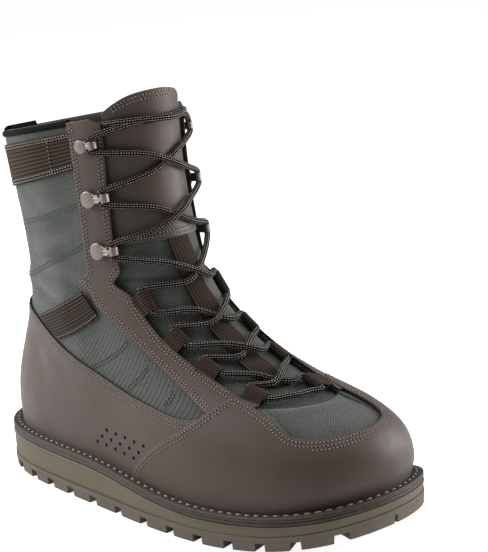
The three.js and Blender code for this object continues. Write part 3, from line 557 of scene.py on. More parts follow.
# Board: the stiff leatherboard that the upper is lasted on, seen only as a dark layer under the welt.
bend, shader = grained("welt_leather", "2b2620", "4a4239", 300.0, 4.0, 0.4, 0.0004)
settle(shader, Roughness=0.6)
bm = sole_plate([
    (0.9, lambda y: board_top(y) - BOARD_THICKNESS), (0.2, lambda y: board_top(y) - BOARD_THICKNESS + 0.3),
    (0.2, lambda y: board_top(y) - 0.4), (0.9, lambda y: board_top(y)),
])
piece("leatherboard", bm, bend, "welt", "board")

# Welt: a strip of oiled leather round the foot of the upper, sewn down through the board; its edge has two
# layers.
WELT_PROFILE = [
    (1.0, 0.0), (0.35, 0.1), (0.05, 0.5), (0.05, 1.3), (0.4, 1.5), (0.4, 1.7), (0.05, 1.9), (0.1, 2.7),
    (0.5, 3.05), (1.4, 3.2),
]


def welt_place(s, r):
    k = r * len(WELT_PROFILE)
    if k < len(WELT_PROFILE) - 0.5:
        inset, height = WELT_PROFILE[round(k)]
        point = edge_point(s, inset)
        return Vector((point.x, point.y, board_top(point.y) + height))
    point = off_last(s, 0, -0.5)
    return Vector((point.x, point.y, rim_top(point.y) - 0.1))


bm = spread(240, len(WELT_PROFILE), welt_place)
outwards(bm, (0, 110, 0))
piece("welt_strip", bm, bend, "welt", "welt")


# Footbed: foam with a black knit cover, shaped to the foot and laid in loose.
knit, shader = grained("lining_black_knit", "101010", "262524", 700.0, 2.0, 0.5, 0.0005)
settle(shader, Roughness=0.95, Sheen_Weight=0.2)


def footbed_place(s, r):
    profile = [(-3.8, 0.6), (-3.8, 4.0), (-4.6, 4.6), (-14, 4.8), (-26, 4.9)]
    inset, height = profile[round(r * 4)]
    point = off_last(s, 0, inset)
    return Vector((point.x, point.y, board_top(point.y) + height))


bm = spread(120, 4, footbed_place)
bmesh.ops.holes_fill(bm, edges=[edge for edge in bm.edges if edge.is_boundary], sides=0)
bmesh.ops.recalc_face_normals(bm, faces=bm.faces)
piece("footbed", bm, knit, "lining", "insole")

# Upper: a wall of coated canvas from the welt to the collar, lined with black knit. The quarters run round
# the heel from throat edge to throat edge, and a second piece covers the toes.
THROAT = [
    (3.7, 0.404, 0.542), (3.95, 0.39, 0.556), (4.3, 0.383, 0.566), (4.8, 0.373, 0.583), (5.5, 0.358, 0.612),
    (6.2, 0.351, 0.628), (7.0, 0.345, 0.636), (7.8, 0.349, 0.626), (8.7, 0.361, 0.612), (9.7, 0.366, 0.606),
    (10, 0.363, 0.606),
]
# where the cloth creases: turn and level at both ends, half width in millimetres, depth
CREASES = [
    (0.13, 6.9, 0.22, 6.55, 6, 1.6), (0.15, 6.3, 0.24, 5.9, 6, -1.8), (0.2, 7.35, 0.27, 7.0, 6, 1.5),
    (0.05, 6.6, 0.12, 6.9, 6, 1.5), (0.86, 6.8, 0.78, 6.5, 6, 1.6), (0.85, 6.2, 0.76, 5.9, 6, -1.8),
    (0.95, 6.6, 0.88, 6.9, 6, 1.4), (0.16, 8.05, 0.27, 8.2, 6, -1.9), (0.84, 8.05, 0.73, 8.2, 6, -1.9),
    (0.18, 7.7, 0.26, 7.85, 5, 1.5), (0.82, 7.7, 0.74, 7.85, 5, 1.5), (0.22, 8.6, 0.27, 8.45, 5, 1.3),
    (0.24, 6.9, 0.28, 6.2, 6, -1.5), (0.76, 6.9, 0.72, 6.2, 6, -1.5), (0.14, 8.75, 0.2, 8.45, 5, 1.2),
]

# pitch of the weave, and the cloth that one turn of the last takes, in metres
THREAD, TURN_CLOTH = 0.0011, 0.42
canvas, tree, shader = new_material("upper_coated_canvas")
spot = add_node(tree, "TexCoord")
across = mapped(tree, spot.outputs["UV"], (1 / THREAD, 1 / THREAD, 1))
warp, weft = [wave(tree, across, 0.157, way, 0.5, {"Detail": 1.0, "Detail Scale": 0.4}) for way in "XY"]
even = reckon(tree, "ABSOLUTE", reckon(tree, "SUBTRACT", warp, weft))
weave = reckon(tree, "MULTIPLY", even, ranged(tree, noise(tree, across, 0.8), 0.3, 0.7, 0.3, 1.2))
# The cloth is paler in worn patches, a real wear; on top of that it is painted paler on the ridges of its
# creases and darker in their hollows, a painted highlight and painted shade of the folds.
worn = ranged(tree, noise(tree, spot.outputs["Object"], 24.0, 8.0), 0.36, 0.64)
# painted highlight and shade: lighter where the surface bulges into a ridge, darker where it sinks into a
# fold
raised = ranged(tree, add_node(tree, "NewGeometry").outputs["Pointiness"], 0.488, 0.512)
share = reckon(tree, "MULTIPLY", reckon(tree, "ADD", worn, raised), 0.5)
dye_and_fold_shade = mixed(tree, share, "1b1f1d", "515650")
surface(tree, shader, mixed(tree, weave, dye_and_fold_shade, "666a64"), weave, 0.7, 0.0005)
settle(shader, Roughness=0.85, Sheen_Weight=0.25, Sheen_Roughness=0.4)


def throat(side, level):
    """The turn of the throat's edge, with the notch that lets the ankle flex."""
    seen = max(level, THROAT[0][0])
    notch = 0.02 * hump(level, 6.93, 0.3)
    if side > 0:
        return read(THROAT, 1, seen) - notch
    return read(THROAT, 2, seen) + notch


# how far a crease fades out beside it, against its half width
CREASE_FADE = 1.6


def crease(turn, level, table=CREASES):
    """How far the cloth or leather stands out of, or sinks into, the last's form."""
    here = last_point(turn, level)
    depth = 0.0
    for turn_a, level_a, turn_b, level_b, half, height in table:
        start, end = last_point(turn_a, level_a), last_point(turn_b, level_b)
        along = end - start
        share = clamp((here - start).dot(along) / along.length_squared, 0, 1)
        reach = (here - start - along * share).length
        depth += height * hump(reach, 0, half * CREASE_FADE) * (0.4 + 0.6 * hump(share, 0.5, 0.7))
    return depth


def quarter_spot(s, r):
    rim = min(s, 1 - s)
    level = (11 - 0.2 * hump(rim, 0, 0.05) - 0.08 * (1 - smooth(0.05, 0.12, rim))) * r - 1
    high = max(level, 3.0)
    start, end = throat(-1, high) - 1, throat(1, high)
    return start + (end - start) * s, level


def quarter_place(extra):
    def place(s, r):
        turn, level = quarter_spot(s, r)
        bend = crease(turn % 1, level) if 5 < level < 9.5 else 0
        return off_last(turn, level, extra + bend)
    return place


def quarter_cloth(s, r):
    turn, level = quarter_spot(s, r)
    return turn * TURN_CLOTH, off_last(turn, level).z * 0.001


bm = spread(220, 120, quarter_place(0), cloth=quarter_cloth)
sewn("quarters_canvas", bm, (0, 100, 110), canvas, "cloth", "upper", 1.2, 0)


def lining_place(s, r):
    pad = 1.6 * smooth(7.4, 8.6, 11 * r - 1) * (1 - smooth(9.9, 10.05, 11 * r - 1))
    return quarter_place(-1.3 - pad)(s, r)


bm = spread(120, 80, lining_place)
sewn("lining_knit", bm, (0, 100, 110), knit, "lining", "upper", 1.1, 0)


def toe_place(s, r):
    level = -1 + 4.72 * r
    return off_last(0.385 + 0.19 * s, level, 0.12 - 1.4 * smooth(0.75, 1, r))


bm = spread(70, 60, toe_place, 0.5)
sewn("toe_canvas", bm, (0, 150, 20), canvas, "cloth", "upper", 1.6, 0)

# Rand and vamp: waxed nubuck, cut and lapped. The rand wraps the heel and both sides, and the vamp laps its
# front edges and covers the toe. Both are sewn down along their top edges.
hide, tree, shader = new_material("waxed_nubuck")
spot = add_node(tree, "TexCoord").outputs["Object"]
mottle = noise(tree, spot, 90.0, 6.0)
base = mixed(tree, noise(tree, spot, 14.0, 3.0), "453932", "56483f")
surface(tree, shader, mixed(tree, mottle, base, "4d4039"), noise(tree, spot, 1100.0, 3.0), 0.18, 0.0003)
tree.links.new(ranged(tree, mottle, 0.3, 0.7, 0.42, 0.56), shader.inputs["Roughness"])
settle(shader, IOR=1.45, Sheen_Weight=0.18, Sheen_Roughness=0.4)

# Cut edges: a dark edge dye, made near-black so that it also stands for the shadow line along the lapped
# edges, a painted shadow.
edge_dye_and_shadow, shader = grained("cut_edge_dye_and_shadow", "0e0c0a", "241d19", 500.0, 3.0, 0.4, 0.0003)
settle(shader, Roughness=0.8)

# turn from the heel, level
RAND_TOP = [
    (0, 5.75), (0.06, 5.68), (0.105, 5.45), (0.133, 5.21), (0.18, 4.6), (0.222, 3.94), (0.254, 3.4),
    (0.285, 3.13), (0.309, 2.98), (0.324, 3.07), (0.336, 3.28),
]
# corner number, turn, level
VAMP_TOP = [(k, turn, level) for k, (turn, level) in enumerate([
    (0.3395, 3.36), (0.383, 3.98), (0.393, 3.74), (0.399, 3.3), (0.403, 2.86), (0.412, 2.64), (0.44, 2.57),
    (0.472, 2.63), (0.5, 2.64), (0.53, 2.74), (0.542, 2.96), (0.548, 3.4), (0.554, 3.8), (0.565, 3.98),
    (0.59, 3.9), (0.6605, 3.36),
])]


# soft dents in the leather, given like the creases in the cloth
DENTS = [
    (0.115, 4.2, 0.14, 2.6, 7, -0.5), (0.147, 4.0, 0.172, 2.6, 7, 0.35), (0.885, 4.2, 0.86, 2.6, 7, -0.5),
    (0.21, 2.9, 0.24, 2.2, 6, -0.3), (0.79, 2.9, 0.76, 2.2, 6, -0.3),
]


def rand_spot(s, r):
    top = (2 * s - 1) * 0.3455
    foot = (2 * s - 1) * 0.2565
    high = read(RAND_TOP, 1, min(abs(top), 0.336))
    return foot + (top - foot) * r ** 1.9, high * r


def vamp_spot(s, r):
    k = s * (len(VAMP_TOP) - 1)
    turn, level = read(VAMP_TOP, 1, k), read(VAMP_TOP, 2, k)
    foot = 0.5 + (turn - 0.5) * 0.246 / 0.158
    return foot + (turn - foot) * r ** 1.9, level * r


def rand_place(s, r):
    turn, level = rand_spot(s, r)
    return off_last(turn, level, GAP + LEATHER + (crease(turn % 1, level, DENTS) if 1.8 < level < 4.6 else 0))


bm = spread(260, 60, rand_place)
sewn("rand_nubuck", bm, (0, 110, 60), hide, "leather", "rand", LEATHER - 0.1, rim=edge_dye_and_shadow)
bm = spread(260, 60, lambda s, r: off_last(*vamp_spot(s, r), GAP + LEATHER + 0.6))
sewn("vamp_nubuck", bm, (0, 150, 20), hide, "leather", "vamp", LEATHER + 0.5, rim=edge_dye_and_shadow)

# Eyestays: a strip of the same nubuck down each side of the throat, carrying the hooks and the lace loops.
STAY = [
    (3.3, 0.338), (4.16, 0.332), (4.91, 0.324), (5.57, 0.311), (6.1, 0.292), (6.4, 0.281), (7.0, 0.283),
    (7.66, 0.291), (8.51, 0.3), (9.43, 0.304), (10, 0.302),
]


def stay_spot(side, s, r):
    low = 3.25 + 0.5 * s
    level = low + (9.95 - low - 0.12 * hump(s, 1, 0.35)) * r
    wide = read(THROAT, 1, max(level, THROAT[0][0])) - read(STAY, 1, level)
    edge = throat(side, level) + side * 0.004
    return edge - side * (wide + 0.004) * (1 - s), level


for label, side in (("outer", 1), ("inner", -1)):
    node = f"eyestay_{label}"
    bm = spread(24, 200, lambda s, r: off_last(*stay_spot(side, s, r), GAP + LEATHER))
    sewn(f"{node}_nubuck", bm, (0, 100, 110), hide, "leather", node, LEATHER - 0.1, rim=edge_dye_and_shadow)

# Collar: a band of ribbed webbing round the back, a black binding along the top edge and a pull loop at the
# heel line.
def webbing_material(name, lengthwise, pitch):
    """Ribbed webbing, its ribs set apart by dark lines of painted shade in the troughs between them, which
    run up the sheet when lengthwise, or else along it; its picks are painted lighter, a painted highlight on
    the threads."""
    material, tree, shader = new_material(name)
    spot = add_node(tree, "TexCoord").outputs["UV"]
    cloth = mapped(tree, spot, (1000, 1000, 1))
    ways = "XY" if lengthwise else "YX"
    # painted shade: near black in the narrow troughs between the ribs, where this share is low
    painted_groove_shade = ranged(tree, wave(tree, cloth, 0.3142 / pitch, ways[0]), 0.05, 0.65)
    pick = wave(tree, cloth, 0.3, ways[1], 0.5)
    # the picks are painted lighter than the dyed ground, a painted highlight on the threads
    lit = mixed(tree, pick, mixed(tree, noise(tree, cloth, 1.2, 3.0), "261c15", "3b2d24"), "554437")
    surface(tree, shader, mixed(tree, painted_groove_shade, "050404", lit), pick, 0.5, 0.0004)
    settle(shader, Roughness=0.85, Specular_IOR_Level=0.2, Sheen_Weight=0.04, Sheen_Roughness=0.5)
    return material


RIB = 2.6
ribbed = webbing_material("ribbed_webbing", False, RIB)
loop_ribbed = webbing_material("loop_webbing", True, 1.9)
strap_ribbed = webbing_material("strap_webbing", True, 2.43)


def ribs(distance, pitch=RIB, height=0.35):
    """The rounded rib that stands up at a distance across the webbing."""
    return height * abs(math.sin(math.pi * distance / pitch)) ** 0.6


def collar_level(turn, r):
    """The level of a place on the collar's webbing, from its lower edge to its upper."""
    low, high = 8.92 + 2.4 * turn * turn, 9.68 + 0.27 * abs(turn)
    return low + (high - low) * r


def collar_band_place(s, r):
    turn = (2 * s - 1) * 0.31
    return off_last(turn, collar_level(turn, r), GAP + 1.1 + ribs(r * 27))


bm = spread(200, 70, collar_band_place)
sewn("collar_webbing_band", bm, (0, 60, 220), ribbed, "webbing", "collar_webbing", 1.0, 0.2)

nylon, tree, shader = new_material("black_nylon_tape")
across = mapped(tree, add_node(tree, "TexCoord").outputs["UV"], (1000, 1000, 1))
picks = wave(tree, across, 0.3, "DIAGONAL", 0.4)
surface(tree, shader, mixed(tree, picks, "060606", "111110"), picks, 0.5, 0.0003)
settle(shader, Roughness=0.85, Specular_IOR_Level=0.12)


def binding_place(s, r):
    turn = (2 * s - 1) * 0.302
    path = [(9.87, 0.9), (9.88, 1.3), (9.91, 1.5), (9.94, 1.5), (9.985, 1.1), (10.0, 0), (10.0, -1.4),
            (9.98, -2.4), (9.92, -2.9), (9.8, -2.9)]
    level, off = path[round(r * 9)]
    return off_last(turn, level, off)


bm = spread(160, 9, binding_place)
outwards(bm, (0, 60, 200))
piece("collar_edge_binding", bm, nylon, "lining", "collar_binding")

# level, distance off the last
PULL_PATH = [
    (8.35, 3.4), (8.6, 3.4), (9.05, 3.4), (9.5, 3.4), (9.95, 3.4), (10.06, 2.4), (10.11, -0.4), (10.07, -3),
    (9.95, -4.4), (9.6, -4.6),
]
PULL_ROWS = [(k,) + row for k, row in enumerate(PULL_PATH)]


def pull_place(s, r):
    k = r * (len(PULL_PATH) - 1)
    half = 0.044 * clamp(0.27 + k * 0.73, 0, 1)
    off = read(PULL_ROWS, 2, k) + 0.5 + ribs(17 * s, 2.8, 0.2)
    return off_last((2 * s - 1) * half, read(PULL_ROWS, 1, k), off)


bm = spread(30, 72, pull_place)
sewn("pull_loop_tape", bm, (0, 0, 210), nylon, "lining", "pull_loop", 1.2, 0.2)


# Ankle webbing: a slanted band of the same ribbed webbing sewn over the cloth on each side.
def ankle_spot(side, s, r):
    low = (0.178 + 0.098 * s, 4.8 + 1.24 * s)
    high = (0.133 + 0.129 * s, 5.46 + 1.22 * s)
    turn = low[0] + (high[0] - low[0]) * r
    return turn if side > 0 else 1 - turn, low[1] + (high[1] - low[1]) * r


for label, side in (("outer", 1), ("inner", -1)):
    node = f"ankle_webbing_{label}"
    bm = spread(60, 64, lambda s, r: off_last(*ankle_spot(side, s, r), GAP + 1.2 + ribs(21 * r, 2.62)))
    sewn(f"{node}_band", bm, (0, 60, 120), ribbed, "webbing", node, 1.0, 0.2)


# Tongue: padded cloth sewn in at the throat, with a nubuck upper part above a double seam and a black knit
# back.
def tongue_depth(s, level):
    middle = 5 - 2.4 * smooth(7, 8.8, level)
    return 3.1 + (middle - 3.1) * smooth(0.16, 0.42, min(s, 1 - s)) * smooth(3.3, 3.7, level)


def tongue_top(s):
    return 10 + 0.32 * (1 - abs(2 * s - 1) ** 3)


def tongue_spot(s, r, low=3.35):
    level = low + (tongue_top(s) - low) * r
    seen = clamp(level, THROAT[0][0], 10)
    tuck = 0.03 - 0.034 * smooth(8, 10, level)
    start, end = read(THROAT, 1, seen) - tuck, read(THROAT, 2, seen) + tuck
    return start + (end - start) * s, level


TONGUE_SEAMS = [4.85, 5.55, 6.3, 7.0]


def tongue_place(extra, low=3.35):
    def place(s, r):
        turn, level = tongue_spot(s, r, low)
        seams = sum(hump(level, mark, 0.09) for mark in TONGUE_SEAMS)
        return off_last(turn, level, extra - tongue_depth(s, level) - 0.7 * seams)
    return place


bm = spread(60, 150, tongue_place(0))
tongue = sewn("tongue_canvas", bm, (0, 60, 100), canvas, "cloth", "tongue", 1.4, 0)
bm = spread(50, 110, tongue_place(-1.3))
sewn("tongue_knit_back", bm, (0, 60, 100), knit, "lining", "tongue", 1.5, 0)
bm = spread(60, 80, tongue_place(1.4, 7.72))
sewn("tongue_nubuck", bm, (0, 60, 200), hide, "leather", "tongue", 1.3, rim=edge_dye_and_shadow)


STRAP_FROM, STRAP_TO = 4.42, 7.74


def strap_place(s, r):
    level = STRAP_FROM + (STRAP_TO - STRAP_FROM) * r
    turn = turn_at(level, 3 - (2 * s - 1) * 8.5)
    lifts = ((4.9, 0.3), (5.62, 0.3), (6.4, 0.36), (7.3, 0.4))
    free = sum(hump(level, middle, half) for middle, half in lifts)
    return off_last(turn, level, -tongue_depth(0.5, level) + 1.9 + 1.6 * free + ribs(17 * s, 2.43, 0.25))


bm = spread(56, 90, strap_place)
sewn("tongue_strap_webbing", bm, (0, 60, 60), strap_ribbed, "webbing", "tongue_strap", 1.1, 0.2)

# Lace loops: short folds of ribbed webbing, four on each side, sewn under the eyestay's edge. Each row gives
# the level, then the tip's place across on the outer and on the inner side and the width along the edge, all
# three as shares of the ball's width, and last the distance off the last.
LOOPS = [
    (4.17, 0.161, 0.133, 0.115, 0.4), (4.98, 0.207, 0.174, 0.127, 0.2), (5.7, 0.222, 0.178, 0.11, 0.5),
    (6.55, 0.25, 0.22, 0.127, 0.6),
]


def loop_frame(row, side):
    """The tip of a lace loop, the way out of the throat's edge, away from the tongue and along the edge."""
    level, off = row[0], row[4]
    across = side * row[1 if side > 0 else 2] * BALL_WIDTH

    def edge_at(at):
        return off_last(read(THROAT, 1 if side > 0 else 2, max(at, 3.7)), at, 1)

    tip = off_last(turn_at(level, across), level, off)
    width = (edge_at(level + 0.3) - edge_at(level - 0.3)).normalized()
    across = tip - edge_at(level)
    along = across - width * across.dot(width)
    reach = along.length
    along.normalize()
    return tip, along, (along.cross(width) * -side).normalized(), width, reach


def curve(points, count):
    """A smooth curve through the given points, in a number of steps."""
    rows = [(k, p.x, p.y, p.z) for k, p in enumerate(points)]
    places = [(len(points) - 1) * k / count for k in range(count + 1)]
    return [Vector([read(rows, column, place) for column in (1, 2, 3)]) for place in places]


def round_off(points, count):
    """An even run of points on a smooth curve through the given ones."""
    fine = curve(points, 400)
    lengths = [0.0]
    for a, b in zip(fine, fine[1:]):
        lengths.append(lengths[-1] + (b - a).length)
    spots = []
    k = 0
    for n in range(count):
        goal = lengths[-1] * n / (count - 1)
        while k < 399 and lengths[k + 1] < goal:
            k += 1
        step = max(lengths[k + 1] - lengths[k], 1e-9)
        spots.append(fine[k].lerp(fine[k + 1], clamp((goal - lengths[k]) / step, 0, 1)))
    return spots


def fold(points, side, width, ribbing, count=48):
    """A webbing fold along a path, ribbed along its length; side is the way across it."""
    path = round_off(points, count)

    def place(s, r):
        k = round(r * (count - 1))
        along = path[min(k + 1, count - 1)] - path[max(k - 1, 0)]
        normal = along.cross(side).normalized()
        return path[k] + side * (s - 0.5) * width + normal * (ribs(s * width, ribbing, 0.22) - 0.1)

    return spread(28, count - 1, place)


for label, side in (("outer", 1), ("inner", -1)):
    for k, row in enumerate(LOOPS):
        tip, along, up, width, reach = loop_frame(row, side)
        half = [(-1, 0.9), (4, 1.2), (reach - 3.4, 2.4), (reach + 1.2, 2.5)]
        steps = [(a, -n) for a, n in half] + [(reach + 2.8, 0)] + half[::-1]
        path = [tip + along * (a - reach) + up * n for a, n in steps]
        bm = fold(path, along.cross(up), row[3] * BALL_WIDTH, 1.9)
        outwards(bm, tip)
        node = f"lace_loop_{label}_{k + 1}"
        thicken(piece(f"{node}_webbing", bm, loop_ribbed, "webbing", node), 0.9, 0.15)

# Hooks: nickel-plated steel, tumbled to a satin finish. Each has a domed rivet and an arm folded back over
# the lace. Each row gives the level, how far behind the throat's edge it sits, and the reach in millimetres.
HOOKS = [(7.64, 0.026, 15), (8.6, 0.032, 15), (9.49, 0.036, 11.1)]
steel, tree, shader = new_material("hook_satin_nickel")
wear = noise(tree, add_node(tree, "TexCoord").outputs["Object"], 500.0, 4.0)
surface(tree, shader, mixed(tree, wear, "7a706b", "a2978f"))
tree.links.new(ranged(tree, wear, 0.3, 0.7, 0.38, 0.52), shader.inputs["Roughness"])
settle(shader, Metallic=1.0)


def hook_frame(row, side):
    """The middle of a hook's base, the way to the throat, away from the leather, and up the boot."""
    level, behind, _ = row
    turn = read(THROAT, 1 if side > 0 else 2, level) - side * behind
    normal = last_normal(turn, level)
    base = off_last(turn, level, 2.1)
    across = off_last(turn + side * 0.04, level, 2.1) - base
    along = (across - normal * across.dot(normal)).normalized()
    return base, along, normal, normal.cross(along) * side


# radius and height up the rivet's head
RIVET = [
    (4.9, 0.0), (5.2, 0.2), (5.2, 1.1), (4.95, 1.5), (4.5, 1.7), (4.2, 1.66), (3.0, 1.85), (1.5, 2.0),
    (0.02, 2.05),
]

for label, side in (("outer", 1), ("inner", -1)):
    for k, row in enumerate(HOOKS):
        base, along, up, width = hook_frame(row, side)
        reach = row[2]

        def rivet_place(s, r):
            radius, height = RIVET[round(r * (len(RIVET) - 1))]
            radius *= clamp(reach / 15, 0.8, 1) * 1.06
            angle = 2 * math.pi * s
            return base + (along * math.cos(angle) + width * math.sin(angle)) * radius + up * (height + 1.6)

        bm = spread(36, len(RIVET) - 1, rivet_place)
        outwards(bm, base)
        arm = [(0, 1.5), (4, 1.9), (reach - 4, 4.2), (reach - 0.5, 4.9), (reach + 0.9, 4.4),
               (reach + 1.3, 2.6), (reach + 0.6, 1.2), (reach - 2, 0.7), (reach - 7, 0.5)]
        path = round_off([base + along * a + up * n for a, n in arm], 40)

        def arm_place(s, r):
            n = round(r * 39)
            heading = path[min(n + 1, 39)] - path[max(n - 1, 0)]
            normal = heading.cross(width).normalized()
            wide = 2.6 + 1.7 * (1 - smooth(0.1, 0.25, r)) + 0.6 * hump(r, 0.48, 0.07)
            half = wide * clamp(reach / 15, 0.85, 1)
            dip = 0.4 * (hump(s, 0.3, 0.14) + hump(s, 0.7, 0.14)) * (1 - smooth(0.38, 0.44, r))
            return path[n] + width * (2 * s - 1) * half - normal * dip

        sheet = spread(20, 39, arm_place)
        bmesh.ops.solidify(sheet, geom=sheet.faces[:], thickness=0.0009)
        pour(sheet, bm)
        node = f"hook_{label}_{k + 1}"
        piece(f"{node}_plated", bm, steel, "hook_metal", node)

# Lace: round black cord with light flecked lines in its braid, 4 mm thick. Each half starts in the bar
# across the lowest loops, crosses to the next pair at each step and ends tucked behind the top of the other
# eyestay.

# flecked lines in a width of the cord's skin, the pitch of their flecks and that width, both in metres
LINES, FLECK, SKIN_WIDTH = 4.0, 0.0017, 0.00628
cord_skin, tree, shader = new_material("lace_braided_polyester")
spot = add_node(tree, "TexCoord").outputs["UV"]
split = add_node(tree, "SeparateXYZ", {0: spot})
stripe = reckon(tree, "MULTIPLY", reckon(tree, "MULTIPLY", split.outputs[0], 1 / SKIN_WIDTH), LINES)
stripe = reckon(tree, "ABSOLUTE", reckon(tree, "SUBTRACT", reckon(tree, "FRACT", stripe), 0.5))
pick = reckon(tree, "FRACT", reckon(tree, "MULTIPLY", split.outputs[1], 1 / FLECK))
stripe, pick = reckon(tree, "LESS_THAN", stripe, 0.1), reckon(tree, "LESS_THAN", pick, 0.55)
tone = mixed(tree, reckon(tree, "MULTIPLY", stripe, pick), "0b0a0a", "c4bcb4")
surface(tree, shader, tone, wave(tree, spot, 280.0, "DIAGONAL", 0.3), 0.6, 0.0004)
settle(shader, Roughness=0.8, Specular_IOR_Level=0.2, Sheen_Weight=0.03)

LACE_DEPTHS = [-0.4, -0.4, -0.3, 0.5, 0.6, 1.4]


def ports(row, side):
    """Where the lace enters and leaves a loop or a hook, from below upwards, and its middle inside."""
    if len(row) == 5:
        tip, along, up, width, _ = loop_frame(row, side)
        middle = tip + along * 0.2
        half = row[3] * BALL_WIDTH / 2 + 1.2
    else:
        base, along, up, width = hook_frame(row, side)
        middle = base + along * (row[2] - 1.4) + up * 2.7
        half = 4.4
    return [middle - width * half, middle, middle + width * half]


def lace_path(side):
    """The run of one half of the lace, from the middle of the bar to its tucked end."""
    rows = LOOPS + HOOKS
    low = LOOPS[0][0] - 0.12
    bar = [off_last(turn_at(low, x), low, -0.6) for x in (0, side * 7)]
    points = bar + ports(rows[0], side)
    for k in range(len(rows) - 1):
        start, end = ports(rows[k], side)[2], ports(rows[k + 1], -side)[0]
        for s in (0.3, 0.5, 0.7):
            level = rows[k][0] + (rows[k + 1][0] - rows[k][0]) * s
            x = start.x + (end.x - start.x) * s
            over = (1.9 if (k % 2 == 0) == (side > 0) else -1.2) * (1 if s == 0.5 else 0.45)
            points.append(off_last(turn_at(level, x), level, LACE_DEPTHS[k] + 0.4 + over))
        side = -side
        points += ports(rows[k + 1], side)
    over = 2.2 if side > 0 else 5.2
    for x, level, depth in ((side * 24, 9.72, 1.2), (0, 9.74, over), (-side * 24, 9.78, 1.4)):
        points.append(off_last(turn_at(level, x), level, depth))
    end = throat(-side, 9.8)
    points.append(off_last(end - 0.012 * -side, 9.8, -1.2))
    return points


def lace_tube(points):
    count = int(sum((b - a).length for a, b in zip(points, points[1:])) / 1.6)
    fine = curve(points, count)
    heading = (fine[1] - fine[0]).normalized()
    side = heading.orthogonal().normalized()
    frames = []
    for k in range(count + 1):
        heading = (fine[min(k + 1, count)] - fine[max(k - 1, 0)]).normalized()
        side = (side - heading * side.dot(heading)).normalized()
        frames.append((fine[k], side.copy(), heading.cross(side)))

    def place(s, r):
        middle, a, b = frames[round(r * count)]
        angle = 2 * math.pi * s
        return middle + (a * math.cos(angle) + b * math.sin(angle)) * LACE_RADIUS

    return spread(12, count, place), sum((b - a).length for a, b in zip(fine, fine[1:]))


lace_length = 0.0
LACE_NODES = {1: ["lace_1", "lace_3", "lace_5", "lace_bar"], -1: ["lace_2", "lace_4", "lace_6", "lace_top"]}
for label, side in (("outer", 1), ("inner", -1)):
    bm, run = lace_tube(lace_path(side))
    bmesh.ops.recalc_face_normals(bm, faces=bm.faces)
    lace_length += run
    piece(f"lace_from_{label}_bar", bm, cord_skin, "lace", *LACE_NODES[side])
print("lace threaded", round(lace_length), "mm")

# Stitching: waxed tan thread, two rows side by side along each leather edge and heavier single stitches on
# the welt.
thread, shader = grained("stitching_thread", "7d746a", "aba195", 800.0)
settle(shader, Roughness=0.6)


def trace(spots, count):
    """Turns and levels at even steps along a line of the last."""
    rows = [(k, turn, level) for k, (turn, level) in enumerate(spots)]
    places = [(len(spots) - 1) * k / (count - 1) for k in range(count)]
    return [(read(rows, 1, place), read(rows, 2, place)) for place in places]


def beside(line, distance):
    """A line of the last moved sideways over its surface, to the left of its run for a distance above
    zero."""
    moved = []
    for k, (turn, level) in enumerate(line):
        before, after = line[max(k - 1, 0)], line[min(k + 1, len(line) - 1)]
        heading = (off_last(*after) - off_last(*before)).normalized()
        way = last_normal(turn, max(level, 0)).cross(heading).normalized() * distance
        by_turn = (off_last(turn + 0.001, level) - off_last(turn - 0.001, level)) / 0.002
        by_level = (off_last(turn, level + 0.02) - off_last(turn, max(level - 0.02, 0))) / 0.04
        a, b, c = by_turn.dot(by_turn), by_turn.dot(by_level), by_level.dot(by_level)
        p, q = way.dot(by_turn), way.dot(by_level)
        scale = a * c - b * b
        moved.append((turn + (p * c - q * b) / scale, level + (q * a - p * b) / scale))
    return moved


def sew(bm, line, off, pitch=2.4, length=1.7, radius=0.4):
    """Lays stitches along a line of the last, each a small seed of thread."""
    points = [off_last(turn, level, off) for turn, level in line]
    normals = [last_normal(turn, max(level, 0)) for turn, level in line]
    stitch_along(bm, points, normals, pitch, length, radius)


def stitch_along(bm, points, normals, pitch, length, radius):
    """Lays stitches along a line in millimetres and, after each, a small disc of painted shadow for its
    needle hole.
    """
    row, prick_row = bmesh.new(), bmesh.new()
    goal, run = pitch / 2, 0.0
    for k in range(len(points) - 1):
        step = (points[k + 1] - points[k]).length
        while goal <= run + step and step > 0:
            middle = points[k].lerp(points[k + 1], (goal - run) / step)
            heading = (points[k + 1] - points[k]).normalized()
            normal = normals[k]
            side = normal.cross(heading).normalized()
            axes = Matrix((heading * length / 2, side * radius, heading.cross(side) * radius * 0.8))
            seat = Matrix.Translation(middle * 0.001) @ (axes.transposed() * 0.001).to_4x4()
            bmesh.ops.create_icosphere(row, subdivisions=1, radius=1, matrix=seat)
            turned = normal.to_track_quat("Z", "Y").to_matrix().to_4x4()
            hole = Matrix.Translation((middle + heading * pitch / 2 - normal * 0.04) * 0.001) @ turned
            bmesh.ops.create_circle(prick_row, cap_ends=True, segments=6, radius=radius * 0.0011, matrix=hole)
            goal += pitch
        run += step
    pour(row, bm)
    pour(prick_row, pricks)


